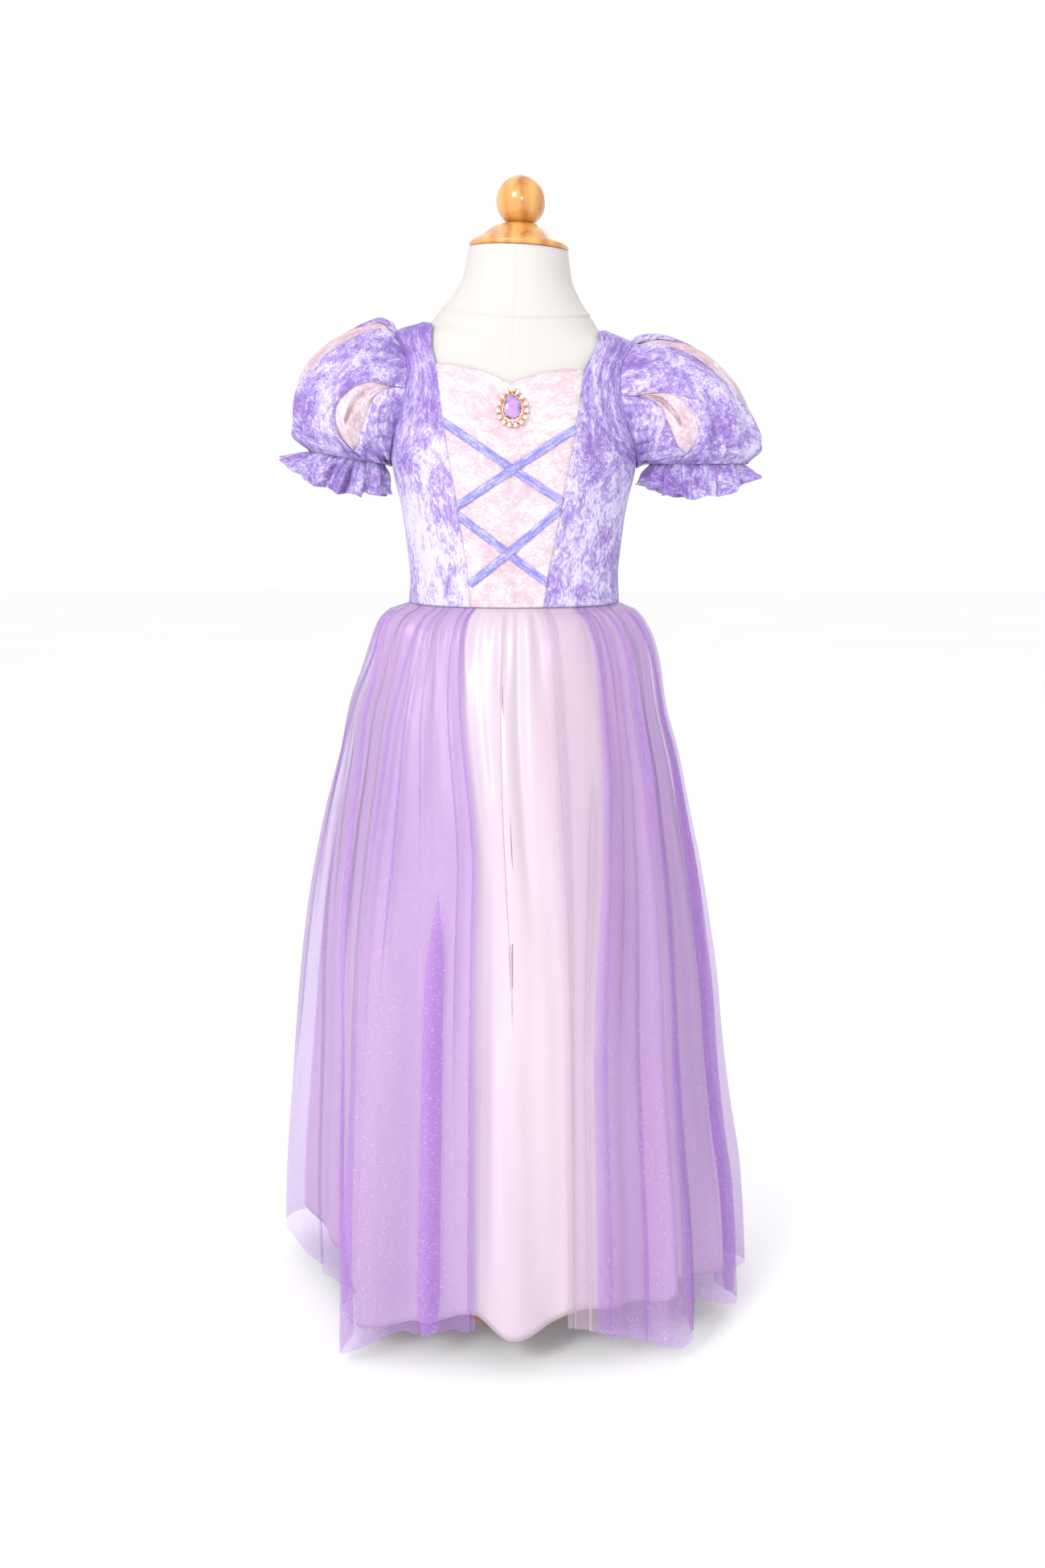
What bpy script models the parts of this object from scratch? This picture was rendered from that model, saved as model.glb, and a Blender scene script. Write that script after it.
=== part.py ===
"""A child's princess costume dress, worn by a limbless dress form on a round stand.

Metres, +Z up, the front faces -Y, and the origin is the centre of the stand's underside.
Left and right are those of somebody who faces the front of the dress.
Each piece that a maker would cut is one wall of cloth: a grid laid on a surface, then thickened outwards.
"""

import math
from collections import namedtuple

import bmesh
import bpy
import numpy as np
from mathutils import Matrix, Vector

# Cloth walls and the gaps between pieces
SEAM_GAP = 0.0003
BODICE_EASE = 0.0024
BODICE_WALL = 0.0015
BODICE_OUTSIDE = BODICE_EASE + BODICE_WALL
SLEEVE_WALL = 0.0012
SLEEVE_EASE = 0.0012
INSERT_WALL = 0.0010
RIBBON_WALL = 0.0010
SATIN_WALL = 0.0012
TULLE_WALL = 0.0010
WELD = 1e-6

# Heights
WAIST = 0.7193
UNDERARM = 0.850
SHOULDER_TIP = 0.963
NECK_POINT = 0.9714
FORM_TOP = 1.0425

# The shoulders and neck lean a little, lower on the right
LEAN_SLOPE = 0.045
LEAN_FROM = 0.80
LEAN_FULL = 0.93

# Stand
BASE_RADIUS = 0.090
BASE_HEIGHT = 0.015
POLE_RADIUS = 0.011
FORM_BOTTOM = 0.560
CAP_CENTRE = 0.005
CAP_HEIGHT = 0.0225
BALL_RADIUS = 0.0229
BALL_SUNK = 0.0035

# Dress form: a ring at each height, its half width, its depth to the front and back of the pole's axis,
# how square it is (2 is an ellipse) and how far its middle lies to the right
Ring = namedtuple("Ring", "z half_width front back square shift")
FORM_RINGS = (
    Ring(0.560, 0.078, 0.054, 0.058, 2.2, 0.0),
    Ring(0.570, 0.094, 0.068, 0.072, 2.3, 0.0),
    Ring(0.610, 0.1035, 0.0755, 0.080, 2.4, 0.0),
    Ring(0.680, 0.1015, 0.0760, 0.074, 2.4, 0.0),
    Ring(0.719, 0.0975, 0.0755, 0.068, 2.4, 0.0),
    Ring(0.744, 0.0963, 0.0755, 0.066, 2.4, 0.0),
    Ring(0.775, 0.0989, 0.0765, 0.067, 2.4, 0.0),
    Ring(0.811, 0.1037, 0.0780, 0.071, 2.4, 0.0),
    Ring(0.838, 0.1100, 0.0785, 0.075, 2.4, 0.0),
    Ring(0.862, 0.1135, 0.0775, 0.078, 2.4, 0.0),
    Ring(0.890, 0.1150, 0.0735, 0.079, 2.3, 0.0),
    Ring(0.912, 0.1158, 0.0690, 0.077, 2.2, 0.0),
    Ring(0.932, 0.1163, 0.0630, 0.071, 2.1, 0.0),
    Ring(0.950, 0.1160, 0.0550, 0.061, 2.0, 0.0),
    Ring(0.9585, 0.1130, 0.0510, 0.056, 2.0, 0.0),
    Ring(0.9635, 0.1050, 0.0490, 0.053, 2.0, 0.0),
    Ring(0.9675, 0.0930, 0.0478, 0.051, 2.0, 0.0003),
    Ring(0.9714, 0.0830, 0.0470, 0.0495, 2.0, 0.0006),
    Ring(0.9765, 0.0765, 0.0466, 0.0488, 2.0, 0.0010),
    Ring(0.984, 0.0715, 0.0463, 0.0482, 2.0, 0.0016),
    Ring(1.000, 0.0592, 0.0455, 0.0470, 2.0, 0.0030),
    Ring(1.0175, 0.0505, 0.0447, 0.0460, 2.0, 0.0037),
    Ring(1.0425, 0.0460, 0.0435, 0.0448, 2.0, 0.0045),
)

# Bodice fronts: where the inner edge lies on each side, and the height that the outer edge has beside it.
# The inner edge is the seam with the centre panel, then the neckline.
# The outer edge is the side seam, then the armhole.
FrontRow = namedtuple("FrontRow", "z left right outer_z")
FRONT_ROWS = (
    FrontRow(WAIST, 0.0403, 0.0288, WAIST),
    FrontRow(0.745, 0.0430, 0.0322, 0.745),
    FrontRow(0.775, 0.0468, 0.0385, 0.775),
    FrontRow(0.805, 0.0515, 0.0438, 0.805),
    FrontRow(0.830, 0.0560, 0.0485, 0.830),
    FrontRow(UNDERARM, 0.0596, 0.0525, UNDERARM),
    FrontRow(0.870, 0.0630, 0.0558, 0.8550),
    FrontRow(0.888, 0.0659, 0.0588, 0.869),
    FrontRow(0.904, 0.0682, 0.0618, 0.891),
    FrontRow(0.919, 0.0704, 0.0640, 0.915),
    FrontRow(0.933, 0.0725, 0.0660, 0.938),
    FrontRow(0.948, 0.0765, 0.0745, 0.953),
    FrontRow(0.960, 0.0770, 0.0800, 0.9600),
    FrontRow(0.9675, 0.0770, 0.0800, 0.9622),
    FrontRow(NECK_POINT, None, None, SHOULDER_TIP),
)
# Bodice backs: the centre back seam, then a shallow scooped neckline
BackRow = namedtuple("BackRow", "z x outer_z")
BACK_ROWS = (
    BackRow(WAIST, 0.0, WAIST),
    BackRow(0.745, 0.0, 0.745),
    BackRow(0.775, 0.0, 0.775),
    BackRow(0.805, 0.0, 0.805),
    BackRow(0.830, 0.0, 0.830),
    BackRow(UNDERARM, 0.0, UNDERARM),
    BackRow(0.874, 0.0, 0.8550),
    BackRow(0.895, 0.0, 0.869),
    BackRow(0.914, 0.0, 0.891),
    BackRow(0.929, 0.0, 0.913),
    BackRow(0.940, 0.0, 0.930),
    BackRow(0.942, 0.026, 0.941),
    BackRow(0.947, 0.048, 0.950),
    BackRow(0.955, 0.064, 0.9565),
    BackRow(0.9645, 0.0745, 0.9610),
    BackRow(0.9690, 0.0795, 0.9624),
    BackRow(NECK_POINT, None, SHOULDER_TIP),
)
BODICE_COLUMNS = 8
CENTRE_COLUMNS = 10
CENTRE_ROWS = 9
ARMHOLE_DEPTH = 0.042
SHOULDER_LIFT = 0.0009
SWEETHEART_DIP = 0.9185
SWEETHEART_RISE = 0.0150

# Lacing: four ribbons that run seam to seam over the centre panel, in two crosses
Lace = namedtuple("Lace", "name x z end_x end_z over")
LACING = (
    Lace("lacing_upper_under", -0.0660, 0.8838, 0.0460, 0.8151, False),
    Lace("lacing_upper_over", 0.0590, 0.8814, -0.0540, 0.8101, True),
    Lace("lacing_lower_under", -0.0533, 0.8044, 0.0329, 0.7407, False),
    Lace("lacing_lower_over", 0.0446, 0.8091, -0.0413, 0.7400, True),
)
LACE_WIDTH = 0.0072
LACE_COLUMNS = 14
HUMP_REACH = 0.009

# Brooch: a pear-shaped stone in a beaded setting
BROOCH_X = -0.0010
BROOCH_Z = 0.8972
STONE_HALF = (0.0082, 0.0107)
PLATE_HALF = (0.0120, 0.0152)
BEAD_RING_HALF = (0.0128, 0.0162)
PLATE_THICK = 0.0014
PEAR_POINT = 0.42
STONE_HIGH = 0.0040
BEADS = 16
BEAD_RADIUS = 0.0021

# Puff sleeves: rings that fan out from the underarm, each from its outer end to its inner end.
# Sizes are outward from the middle of the dress, and heights. The frill hangs from the last ring.
Puff = namedtuple("Puff", "v outer_x outer_z inner_x inner_z half_depth")
PUFFS = {
    "left": (
        Puff(0.16, 0.1273, 0.9801, 0.1192, 0.8515, 0.053),
        Puff(0.36, 0.1651, 0.9671, 0.1202, 0.8512, 0.058),
        Puff(0.56, 0.1976, 0.9366, 0.1213, 0.8508, 0.059),
        Puff(0.76, 0.2077, 0.9020, 0.1223, 0.8502, 0.053),
        Puff(0.90, 0.2038, 0.8761, 0.1233, 0.8495, 0.040),
        Puff(1.00, 0.1906, 0.8597, 0.1243, 0.8485, 0.026),
    ),
    "right": (
        Puff(0.16, 0.1374, 0.9649, 0.1196, 0.8490, 0.053),
        Puff(0.36, 0.1722, 0.9555, 0.1216, 0.8497, 0.058),
        Puff(0.56, 0.2062, 0.9263, 0.1240, 0.8500, 0.059),
        Puff(0.76, 0.2255, 0.8909, 0.1264, 0.8499, 0.053),
        Puff(0.90, 0.2293, 0.8672, 0.1288, 0.8494, 0.040),
        Puff(1.00, 0.2184, 0.8485, 0.1312, 0.8485, 0.026),
    ),
}
Frill = namedtuple("Frill", "v outer_x outer_z inner_x inner_z half_depth drop")
FRILLS = {
    "left": (
        Frill(0.45, 0.2000, 0.8580, 0.1240, 0.8400, 0.031, 0.005),
        Frill(1.00, 0.2168, 0.8522, 0.1250, 0.8222, 0.042, 0.012),
    ),
    "right": (
        Frill(0.45, 0.2220, 0.8430, 0.1285, 0.8410, 0.031, 0.006),
        Frill(1.00, 0.2279, 0.8372, 0.1254, 0.8290, 0.042, 0.015),
    ),
}
# Each sleeve is slashed three times, and a leaf of pink cloth is set in each slash.
# Angles go round the sleeve from its outer end, 90 at the front; half is half the slash's width,
# and recess how far the leaf lies inside the puff.
Slash = namedtuple("Slash", "name top bottom half start end recess")
SLASHES = {
    "left": (
        Slash("front", 68.0, 121.0, 13.0, 0.05, 0.78, 0.0028),
        Slash("top", 20.0, 2.0, 23.0, 0.03, 0.94, 0.0023),
        Slash("back", -72.0, -118.0, 13.0, 0.05, 0.80, 0.0028),
    ),
    "right": (
        Slash("front", 66.0, 121.0, 13.0, 0.05, 0.82, 0.0028),
        Slash("top", 20.0, 6.0, 20.0, 0.03, 0.94, 0.0023),
        Slash("back", -70.0, -118.0, 13.0, 0.05, 0.80, 0.0028),
    ),
}
SLASH_LAP = 4.0
HEAD_GATHER_DEPTH = 0.0022
CUFF_GATHER_DEPTH = 0.0026
FRILL_WAVES = 12
FRILL_TUCK = 0.0020
FRILL_DROP = 0.0024
FRILL_WAVE_DEPTH = 0.0050
SLEEVE_ROWS = 9
PETAL_COLUMNS = 8
UNDERARM_COLUMNS = 12
INSERT_COLUMNS = 4
INSERT_FROM = 0.075
INSERT_PAST = 0.025

# Skirt: how far its outermost folds reach to each side at each height
Flare = namedtuple("Flare", "z left right front back")
FLARES = (
    Flare(0.010, 0.2355, 0.2445, 0.2060, 0.2250),
    Flare(0.080, 0.2342, 0.2400, 0.2030, 0.2210),
    Flare(0.135, 0.2312, 0.2345, 0.1990, 0.2160),
    Flare(0.205, 0.2250, 0.2225, 0.1930, 0.2100),
    Flare(0.275, 0.2185, 0.2128, 0.1870, 0.2030),
    Flare(0.337, 0.2135, 0.2065, 0.1810, 0.1960),
    Flare(0.400, 0.2065, 0.1970, 0.1730, 0.1870),
    Flare(0.457, 0.1975, 0.1870, 0.1640, 0.1770),
    Flare(0.507, 0.1880, 0.1760, 0.1540, 0.1660),
    Flare(0.565, 0.1740, 0.1635, 0.1420, 0.1520),
    Flare(0.615, 0.1630, 0.1490, 0.1300, 0.1380),
    Flare(0.655, 0.1470, 0.1415, 0.1180, 0.1220),
    Flare(0.680, 0.1370, 0.1335, 0.1085, 0.1090),
    Flare(0.700, 0.1275, 0.1225, 0.0990, 0.0950),
    Flare(0.7193, 0.1045, 0.1042, 0.0820, 0.0745),
)
SKIRT_SQUARE = 2.15
# Folds: where each ridge is, how far it stands out at the hem, and how wide it is on either side;
# one that stands out less than zero is a valley.
# Places go round in degrees from the front, through the right side at 90, the back and the left side at 270.
Fold = namedtuple("Fold", "place rise before after")
FOLDS = (
    Fold(32.0, 0.014, 10.0, 10.0),
    Fold(48.0, 0.034, 13.0, 10.0),
    Fold(72.0, 0.034, 14.0, 9.0),
    Fold(92.0, 0.036, 12.0, 11.0),
    Fold(112.0, 0.028, 10.0, 11.0),
    Fold(132.0, 0.036, 12.0, 10.0),
    Fold(152.0, 0.026, 10.0, 11.0),
    Fold(172.0, 0.034, 11.0, 9.0),
    Fold(188.0, 0.028, 9.0, 11.0),
    Fold(208.0, 0.036, 11.0, 9.0),
    Fold(228.0, 0.026, 11.0, 11.0),
    Fold(248.0, 0.070, 13.0, 29.0),
    Fold(286.0, -0.020, 10.0, 16.0),
    Fold(316.0, 0.046, 12.0, 13.0),
    Fold(332.0, 0.014, 8.0, 9.0),
    Fold(0.0, 0.024, 15.0, 15.0),
)
FOLD_BASE = 0.038
LAYER_GAP = 0.0075
GATHER_DEPTH = 0.0024
SATIN_FOLD_SHARE = 0.80
# All layers share one set of places, so that none cuts through another.
# A panel's edge lies between two of them.
PLACE_STEP = 4.0
# How far round the waist end of a place lies from its hem end
Slant = namedtuple("Slant", "place turn")
SLANTS = (
    Slant(-60.0, 0.0),
    Slant(-48.0, -2.0),
    Slant(-24.0, -11.0),
    Slant(-12.0, -12.0),
    Slant(0.0, -6.0),
    Slant(18.0, -3.0),
    Slant(26.0, 12.0),
    Slant(48.0, 8.0),
    Slant(72.0, 2.0),
    Slant(100.0, 0.0),
)
# Hem heights of the satin and of the tulle
Hem = namedtuple("Hem", "place satin tulle")
HEMS = (
    Hem(-48.0, 0.034, 0.010),
    Hem(-32.0, 0.040, 0.036),
    Hem(-14.0, 0.052, 0.040),
    Hem(0.0, 0.036, 0.040),
    Hem(26.0, 0.056, 0.036),
    Hem(48.0, 0.058, 0.015),
    Hem(58.0, 0.057, 0.036),
    Hem(72.0, 0.052, 0.018),
    Hem(92.0, 0.048, 0.018),
    Hem(130.0, 0.046, 0.014),
    Hem(180.0, 0.048, 0.018),
    Hem(228.0, 0.046, 0.018),
    Hem(250.0, 0.060, 0.026),
    Hem(270.0, 0.058, 0.020),
    Hem(290.0, 0.044, 0.018),
    Hem(312.0, 0.034, 0.010),
)
# Skirt panels from one edge to the other: four gores of satin, a pale flap in the front opening,
# and an overskirt of four widths that is open at the front
Panel = namedtuple("Panel", "name start end layer")
SKIRT_PANELS = (
    Panel("skirt_satin_front", -46.0, 46.0, "satin"),
    Panel("skirt_satin_right", 46.0, 138.0, "satin"),
    Panel("skirt_satin_back", 138.0, 222.0, "satin"),
    Panel("skirt_satin_left", 222.0, 314.0, "satin"),
    Panel("skirt_pale_flap", 18.0, 46.0, "pale"),
    Panel("skirt_tulle_front_right", 26.0, 98.0, "tulle"),
    Panel("skirt_tulle_back_right", 98.0, 178.0, "tulle"),
    Panel("skirt_tulle_back_left", 178.0, 262.0, "tulle"),
    Panel("skirt_tulle_front_left", 262.0, 346.0, "tulle"),
)
# Each layer's hem, its share of the folds, its distance out at the waist and below, and its wall
Layer = namedtuple("Layer", "hem share waist below wall finish")
LAYERS = {
    "satin": Layer("satin", SATIN_FOLD_SHARE, 0.0, 0.0, SATIN_WALL, "satin"),
    "pale": Layer("tulle", 0.85, 0.0021, 0.0034, TULLE_WALL, "pale_tulle"),
    "tulle": Layer("tulle", 1.0, 0.0037, LAYER_GAP, TULLE_WALL, "lilac_tulle"),
}
SKIRT_ROWS = 7
SKIRT_TOP = WAIST - 0.0013
MEAN_HEM = 0.035

Finish = namedtuple("Finish", "colour roughness metallic")
FINISHES = {
    "lilac_velvet": Finish((0.38, 0.25, 0.62), 0.55, 0.0),
    "pink_velvet": Finish((0.86, 0.68, 0.74), 0.55, 0.0),
    "ribbon": Finish((0.40, 0.33, 0.78), 0.45, 0.0),
    "satin": Finish((0.88, 0.74, 0.81), 0.30, 0.0),
    "lilac_tulle": Finish((0.62, 0.42, 0.80), 0.60, 0.0),
    "pale_tulle": Finish((0.90, 0.80, 0.90), 0.60, 0.0),
    "jersey": Finish((0.87, 0.85, 0.82), 0.85, 0.0),
    "wood": Finish((0.70, 0.42, 0.18), 0.25, 0.0),
    "steel": Finish((0.60, 0.60, 0.62), 0.30, 1.0),
    "gold": Finish((0.85, 0.55, 0.35), 0.25, 1.0),
    "stone": Finish((0.36, 0.16, 0.60), 0.05, 0.0),
}
DENSE = 600


def smooth_table(rows):
    """A table as dense columns on curves that pass through its rows and never overshoot them."""
    names = rows[0]._fields
    at = np.array([getattr(row, names[0]) for row in rows], float)
    dense = {names[0]: np.linspace(at[0], at[-1], DENSE)}
    step = np.diff(at)
    for name in names[1:]:
        value = np.array([getattr(row, name) for row in rows], float)
        rate = np.diff(value) / step
        slope = np.zeros(len(at))
        same = rate[:-1] * rate[1:] > 0
        slope[1:-1][same] = 2 * rate[:-1][same] * rate[1:][same] / (rate[:-1] + rate[1:])[same]
        slope[0], slope[-1] = rate[0], rate[-1]
        place = np.clip(np.searchsorted(at, dense[names[0]], "right") - 1, 0, len(step) - 1)
        part = (dense[names[0]] - at[place]) / step[place]
        dense[name] = (
            value[place] * (1 + 2 * part) * (1 - part) ** 2
            + slope[place] * step[place] * part * (1 - part) ** 2
            + value[place + 1] * part**2 * (3 - 2 * part)
            + slope[place + 1] * step[place] * part**2 * (part - 1)
        )
    return dense


def read(table, name, at):
    first = next(iter(table))
    return float(np.interp(at, table[first], table[name]))


FORM = smooth_table(FORM_RINGS)
FLARE = smooth_table(FLARES)
HEM = smooth_table(HEMS)
SLANT = smooth_table(SLANTS)
SEAMS = smooth_table([FrontRow(r.z, r.left, r.right, 0.0) for r in FRONT_ROWS[:-1]])


def ramp(at, low, high):
    part = min(1.0, max(0.0, (at - low) / (high - low)))
    return part * part * (3 - 2 * part)


def oval(angle, half_width, front, back, square):
    """Distance from the middle of an oval to its rim at an angle from the front, growing to the right."""
    depth = front if math.cos(angle) > 0 else back
    across = abs(math.sin(angle)) / half_width
    along = abs(math.cos(angle)) / depth
    return (across**square + along**square) ** (-1.0 / square)


def form_radius(angle, z):
    sizes = [read(FORM, name, z) for name in ("half_width", "front", "back", "square")]
    return oval(angle, *sizes)


def form_point(angle, z):
    radius = form_radius(angle, z)
    x = read(FORM, "shift", z) + radius * math.sin(angle)
    lean = LEAN_SLOPE * x * ramp(z, LEAN_FROM, LEAN_FULL)
    return Vector((x, -radius * math.cos(angle), z - lean))


def on_form(angle, z, lift):
    """A point at that distance outside the dress form, along the form's own normal."""
    step = 0.02
    rise = 0.0012
    around = form_point(angle + step, z) - form_point(angle - step, z)
    upward = form_point(angle, min(z + rise, FORM_TOP)) - form_point(angle, z - rise)
    return form_point(angle, z) + around.cross(upward).normalized() * lift


def angle_where(low, high, reaches):
    """The angle between low and high at which reaches(angle) turns true."""
    for _ in range(26):
        middle = (low + high) / 2
        if reaches(middle):
            high = middle
        else:
            low = middle
    return (low + high) / 2


def angle_at_x(x, z, back=False):
    """The angle on the bodice, front or back, that lies at x."""
    side = 1 if x >= 0 else -1
    start, end = (math.pi, math.pi / 2) if back else (0.0, math.pi / 2)
    shift = read(FORM, "shift", z)

    def reaches(angle):
        return shift * side + (form_radius(angle * side, z) + BODICE_OUTSIDE) * math.sin(angle) >= abs(x)

    return side * angle_where(start, end, reaches)


def armhole_depth(z):
    """Half the armhole's depth at a height: it is an oval from the underarm to the shoulder tip."""
    middle = (UNDERARM + SHOULDER_TIP) / 2
    part = (z - middle) / (SHOULDER_TIP - middle)
    return ARMHOLE_DEPTH * math.sqrt(max(0.0, 1 - part * part))


def angle_at_depth(y, z):
    """The angle on the right of the dress form that lies at y, in front of the side seam or behind it."""
    side = 1 if y <= 0 else -1

    def reaches(angle):
        return form_radius(math.pi / 2 - side * angle, z) * math.sin(angle) >= abs(y)

    return math.pi / 2 - side * angle_where(0.0, math.pi / 2, reaches)


def collection(name):
    made = bpy.data.collections.new(name)
    bpy.context.scene.collection.children.link(made)
    return made


def material(name):
    made = bpy.data.materials.get(name)
    if made is None:
        finish = FINISHES[name]
        made = bpy.data.materials.new(name)
        made.use_nodes = True
        shader = made.node_tree.nodes["Principled BSDF"]
        shader.inputs["Base Color"].default_value = (*finish.colour, 1.0)
        shader.inputs["Roughness"].default_value = finish.roughness
        shader.inputs["Metallic"].default_value = finish.metallic
    return made


def add_object(name, mesh_builder, finish):
    mesh = bpy.data.meshes.new(name)
    mesh_builder.to_mesh(mesh)
    mesh_builder.free()
    mesh.materials.append(material(finish))
    mesh.shade_smooth()
    made = bpy.data.objects.new(name, mesh)
    DRESS.objects.link(made)
    return made


def cloth(name, surface, columns, rows, thickness, finish, closed=False):
    """A wall of cloth: surface(u, v) is its inner face, and it thickens outwards."""
    grid = bmesh.new()
    bmesh.ops.create_grid(grid, x_segments=columns, y_segments=rows, size=0.5)
    for vert in grid.verts:
        vert.co = surface(vert.co.x + 0.5, vert.co.y + 0.5)
    if closed:
        bmesh.ops.remove_doubles(grid, verts=grid.verts, dist=WELD)
    made = add_object(name, grid, finish)
    wall = made.modifiers.new("Wall", "SOLIDIFY")
    wall.thickness = thickness
    wall.offset = 1.0
    return made


def turned(name, profile, finish, steps=24):
    """A turned piece: its profile runs down the outer side, from the top of the axis to the bottom."""
    outline = bmesh.new()
    points = [outline.verts.new((radius, 0.0, z)) for radius, z in profile]
    for upper, lower in zip(points, points[1:]):
        outline.edges.new((upper, lower))
    made = add_object(name, outline, finish)
    screw = made.modifiers.new("Turn", "SCREW")
    screw.steps = steps
    screw.render_steps = steps
    screw.use_merge_vertices = True
    screw.merge_threshold = WELD
    return made


def build_form():
    """The padded body of the dress form, its wooden cap and ball, and the stand under it."""
    rings = FORM_RINGS
    body = bmesh.new()
    bmesh.ops.create_grid(body, x_segments=28, y_segments=len(rings) - 1, size=0.5)
    for vert in body.verts:
        z = rings[round((vert.co.y + 0.5) * (len(rings) - 1))].z
        vert.co = form_point((vert.co.x + 0.5) * 2 * math.pi, z)
    bmesh.ops.remove_doubles(body, verts=body.verts, dist=WELD)
    bmesh.ops.holes_fill(body, edges=body.edges)
    add_object("form_body", body, "jersey")

    cap = turned(
        "form_cap",
        (
            (0.0, CAP_HEIGHT),
            (0.0175, CAP_HEIGHT),
            (0.0235, CAP_HEIGHT - 0.0028),
            (0.0340, 0.0122),
            (0.0430, 0.0064),
            (0.0462, 0.0042),
            (0.0464, 0.0020),
            (0.0446, 0.0),
            (0.0, 0.0),
        ),
        "wood",
    )
    ball_mesh = bmesh.new()
    bmesh.ops.create_uvsphere(ball_mesh, u_segments=20, v_segments=12, radius=BALL_RADIUS)
    seat = BALL_SUNK - BALL_RADIUS
    cut = bmesh.ops.bisect_plane(
        ball_mesh,
        geom=ball_mesh.verts[:] + ball_mesh.edges[:] + ball_mesh.faces[:],
        plane_co=(0, 0, seat),
        plane_no=(0, 0, -1),
        clear_outer=True,
    )
    bmesh.ops.holes_fill(ball_mesh, edges=[e for e in cut["geom_cut"] if isinstance(e, bmesh.types.BMEdge)])
    ball = add_object("form_finial", ball_mesh, "wood")
    top = bpy.data.objects.new("form_top_axis", None)
    DRESS.objects.link(top)
    top.location = (CAP_CENTRE, 0, FORM_TOP + SEAM_GAP)
    top.rotation_euler = (0, math.atan(LEAN_SLOPE), 0)
    for piece, height in ((cap, 0.0), (ball, CAP_HEIGHT + SEAM_GAP - seat)):
        piece.parent = top
        piece.location = (0, 0, height)

    turned(
        "form_base",
        (
            (0.0, BASE_HEIGHT),
            (BASE_RADIUS - 0.006, BASE_HEIGHT),
            (BASE_RADIUS - 0.0015, BASE_HEIGHT - 0.002),
            (BASE_RADIUS, BASE_HEIGHT - 0.006),
            (BASE_RADIUS, 0.0),
            (0.0, 0.0),
        ),
        "wood",
        steps=32,
    )
    pole = bmesh.new()
    length = FORM_BOTTOM - BASE_HEIGHT - 2 * SEAM_GAP
    bmesh.ops.create_cone(
        pole, cap_ends=True, segments=20, radius1=POLE_RADIUS, radius2=POLE_RADIUS, depth=length
    )
    add_object("form_pole", pole, "steel").location = (0, 0, BASE_HEIGHT + SEAM_GAP + length / 2)


def seam_x(side, z):
    """Where the seam between the centre panel and a front lies."""
    return read(SEAMS, "left", z) * -1 if side < 0 else read(SEAMS, "right", z)


def bodice_panel(name, rows, side, back):
    """One quarter of the bodice, from the centre to the side seam and up over the shoulder."""
    seam = SEAM_GAP / 2 / 0.1

    def surface(u, v):
        row = rows[round(v * (len(rows) - 1))]
        x = row.x if back else (row.left if side < 0 else row.right)
        if x is None:
            inner = math.pi / 2 + (seam if back else -seam)
        else:
            inner = abs(angle_at_x((x + SEAM_GAP / 2) * side, row.z, back))
        depth = armhole_depth(row.outer_z) if row.outer_z >= UNDERARM else 0.0
        if depth < 1e-5:
            outer = math.pi / 2 + (seam if back else -seam)
        else:
            outer = angle_at_depth(depth if back else -depth, row.outer_z)
        across = u if side > 0 else 1 - u
        if back:
            across = 1 - across
        angle = inner + (outer - inner) * across
        z = row.z + (row.outer_z - row.z) * across
        return on_form(angle * side, z, BODICE_EASE)

    return cloth(name, surface, BODICE_COLUMNS, len(rows) - 1, BODICE_WALL, "lilac_velvet")


def centre_panel():
    """The pink panel between the fronts, with its sweetheart neckline."""

    def surface(u, v):
        lobe = math.sin(math.pi / 2 * abs(2 * u - 1))
        top = SWEETHEART_DIP + SWEETHEART_RISE * lobe
        z = WAIST + (top - WAIST) * v
        left = angle_at_x(seam_x(-1, z) + SEAM_GAP / 2, z)
        right = angle_at_x(seam_x(1, z) - SEAM_GAP / 2, z)
        return on_form(left + (right - left) * u, z, BODICE_EASE)

    cloth("bodice_centre", surface, CENTRE_COLUMNS, CENTRE_ROWS, BODICE_WALL, "pink_velvet")


def crossing(first, second):
    """Where two ribbons cross, as x and z."""
    run = Vector((first.end_x - first.x, first.end_z - first.z))
    other = Vector((second.end_x - second.x, second.end_z - second.z))
    between = Vector((second.x - first.x, second.z - first.z))
    share = (between.x * other.y - between.y * other.x) / (run.x * other.y - run.y * other.x)
    return Vector((first.x, first.z)) + run * share


def lacing(lace, cross):
    """A ribbon on the centre panel; the one on top humps over the other where they cross."""
    start = Vector((lace.x, lace.z))
    run = Vector((lace.end_x - lace.x, lace.end_z - lace.z))
    across = Vector((-run.y, run.x)).normalized()
    facing = 1 if run.x > 0 else -1

    def surface(u, v):
        spot = start + run * (u if facing > 0 else 1 - u) + across * facing * LACE_WIDTH * (v - 0.5)
        z = spot.y
        x = min(max(spot.x, seam_x(-1, z) + SEAM_GAP), seam_x(1, z) - SEAM_GAP)
        away = (Vector((x, z)) - cross).length
        hump = (RIBBON_WALL + SEAM_GAP) * (1 - ramp(away, LACE_WIDTH * 0.6, HUMP_REACH * 2)) * lace.over
        return on_form(angle_at_x(x, z), z, BODICE_OUTSIDE + SEAM_GAP * 1.3 + hump)

    cloth(lace.name, surface, LACE_COLUMNS, 1, RIBBON_WALL, "ribbon")


def teardrop(turn, half, point):
    """A pear outline with its point up; a larger value of point makes it sharper."""
    wide = math.sin(turn) * math.sin(turn / 2) ** point
    widest = max(abs(math.sin(t) * math.sin(t / 2) ** point) for t in np.linspace(0, math.pi, 60))
    return Vector((half[0] * wide / widest, half[1] * math.cos(turn)))


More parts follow.
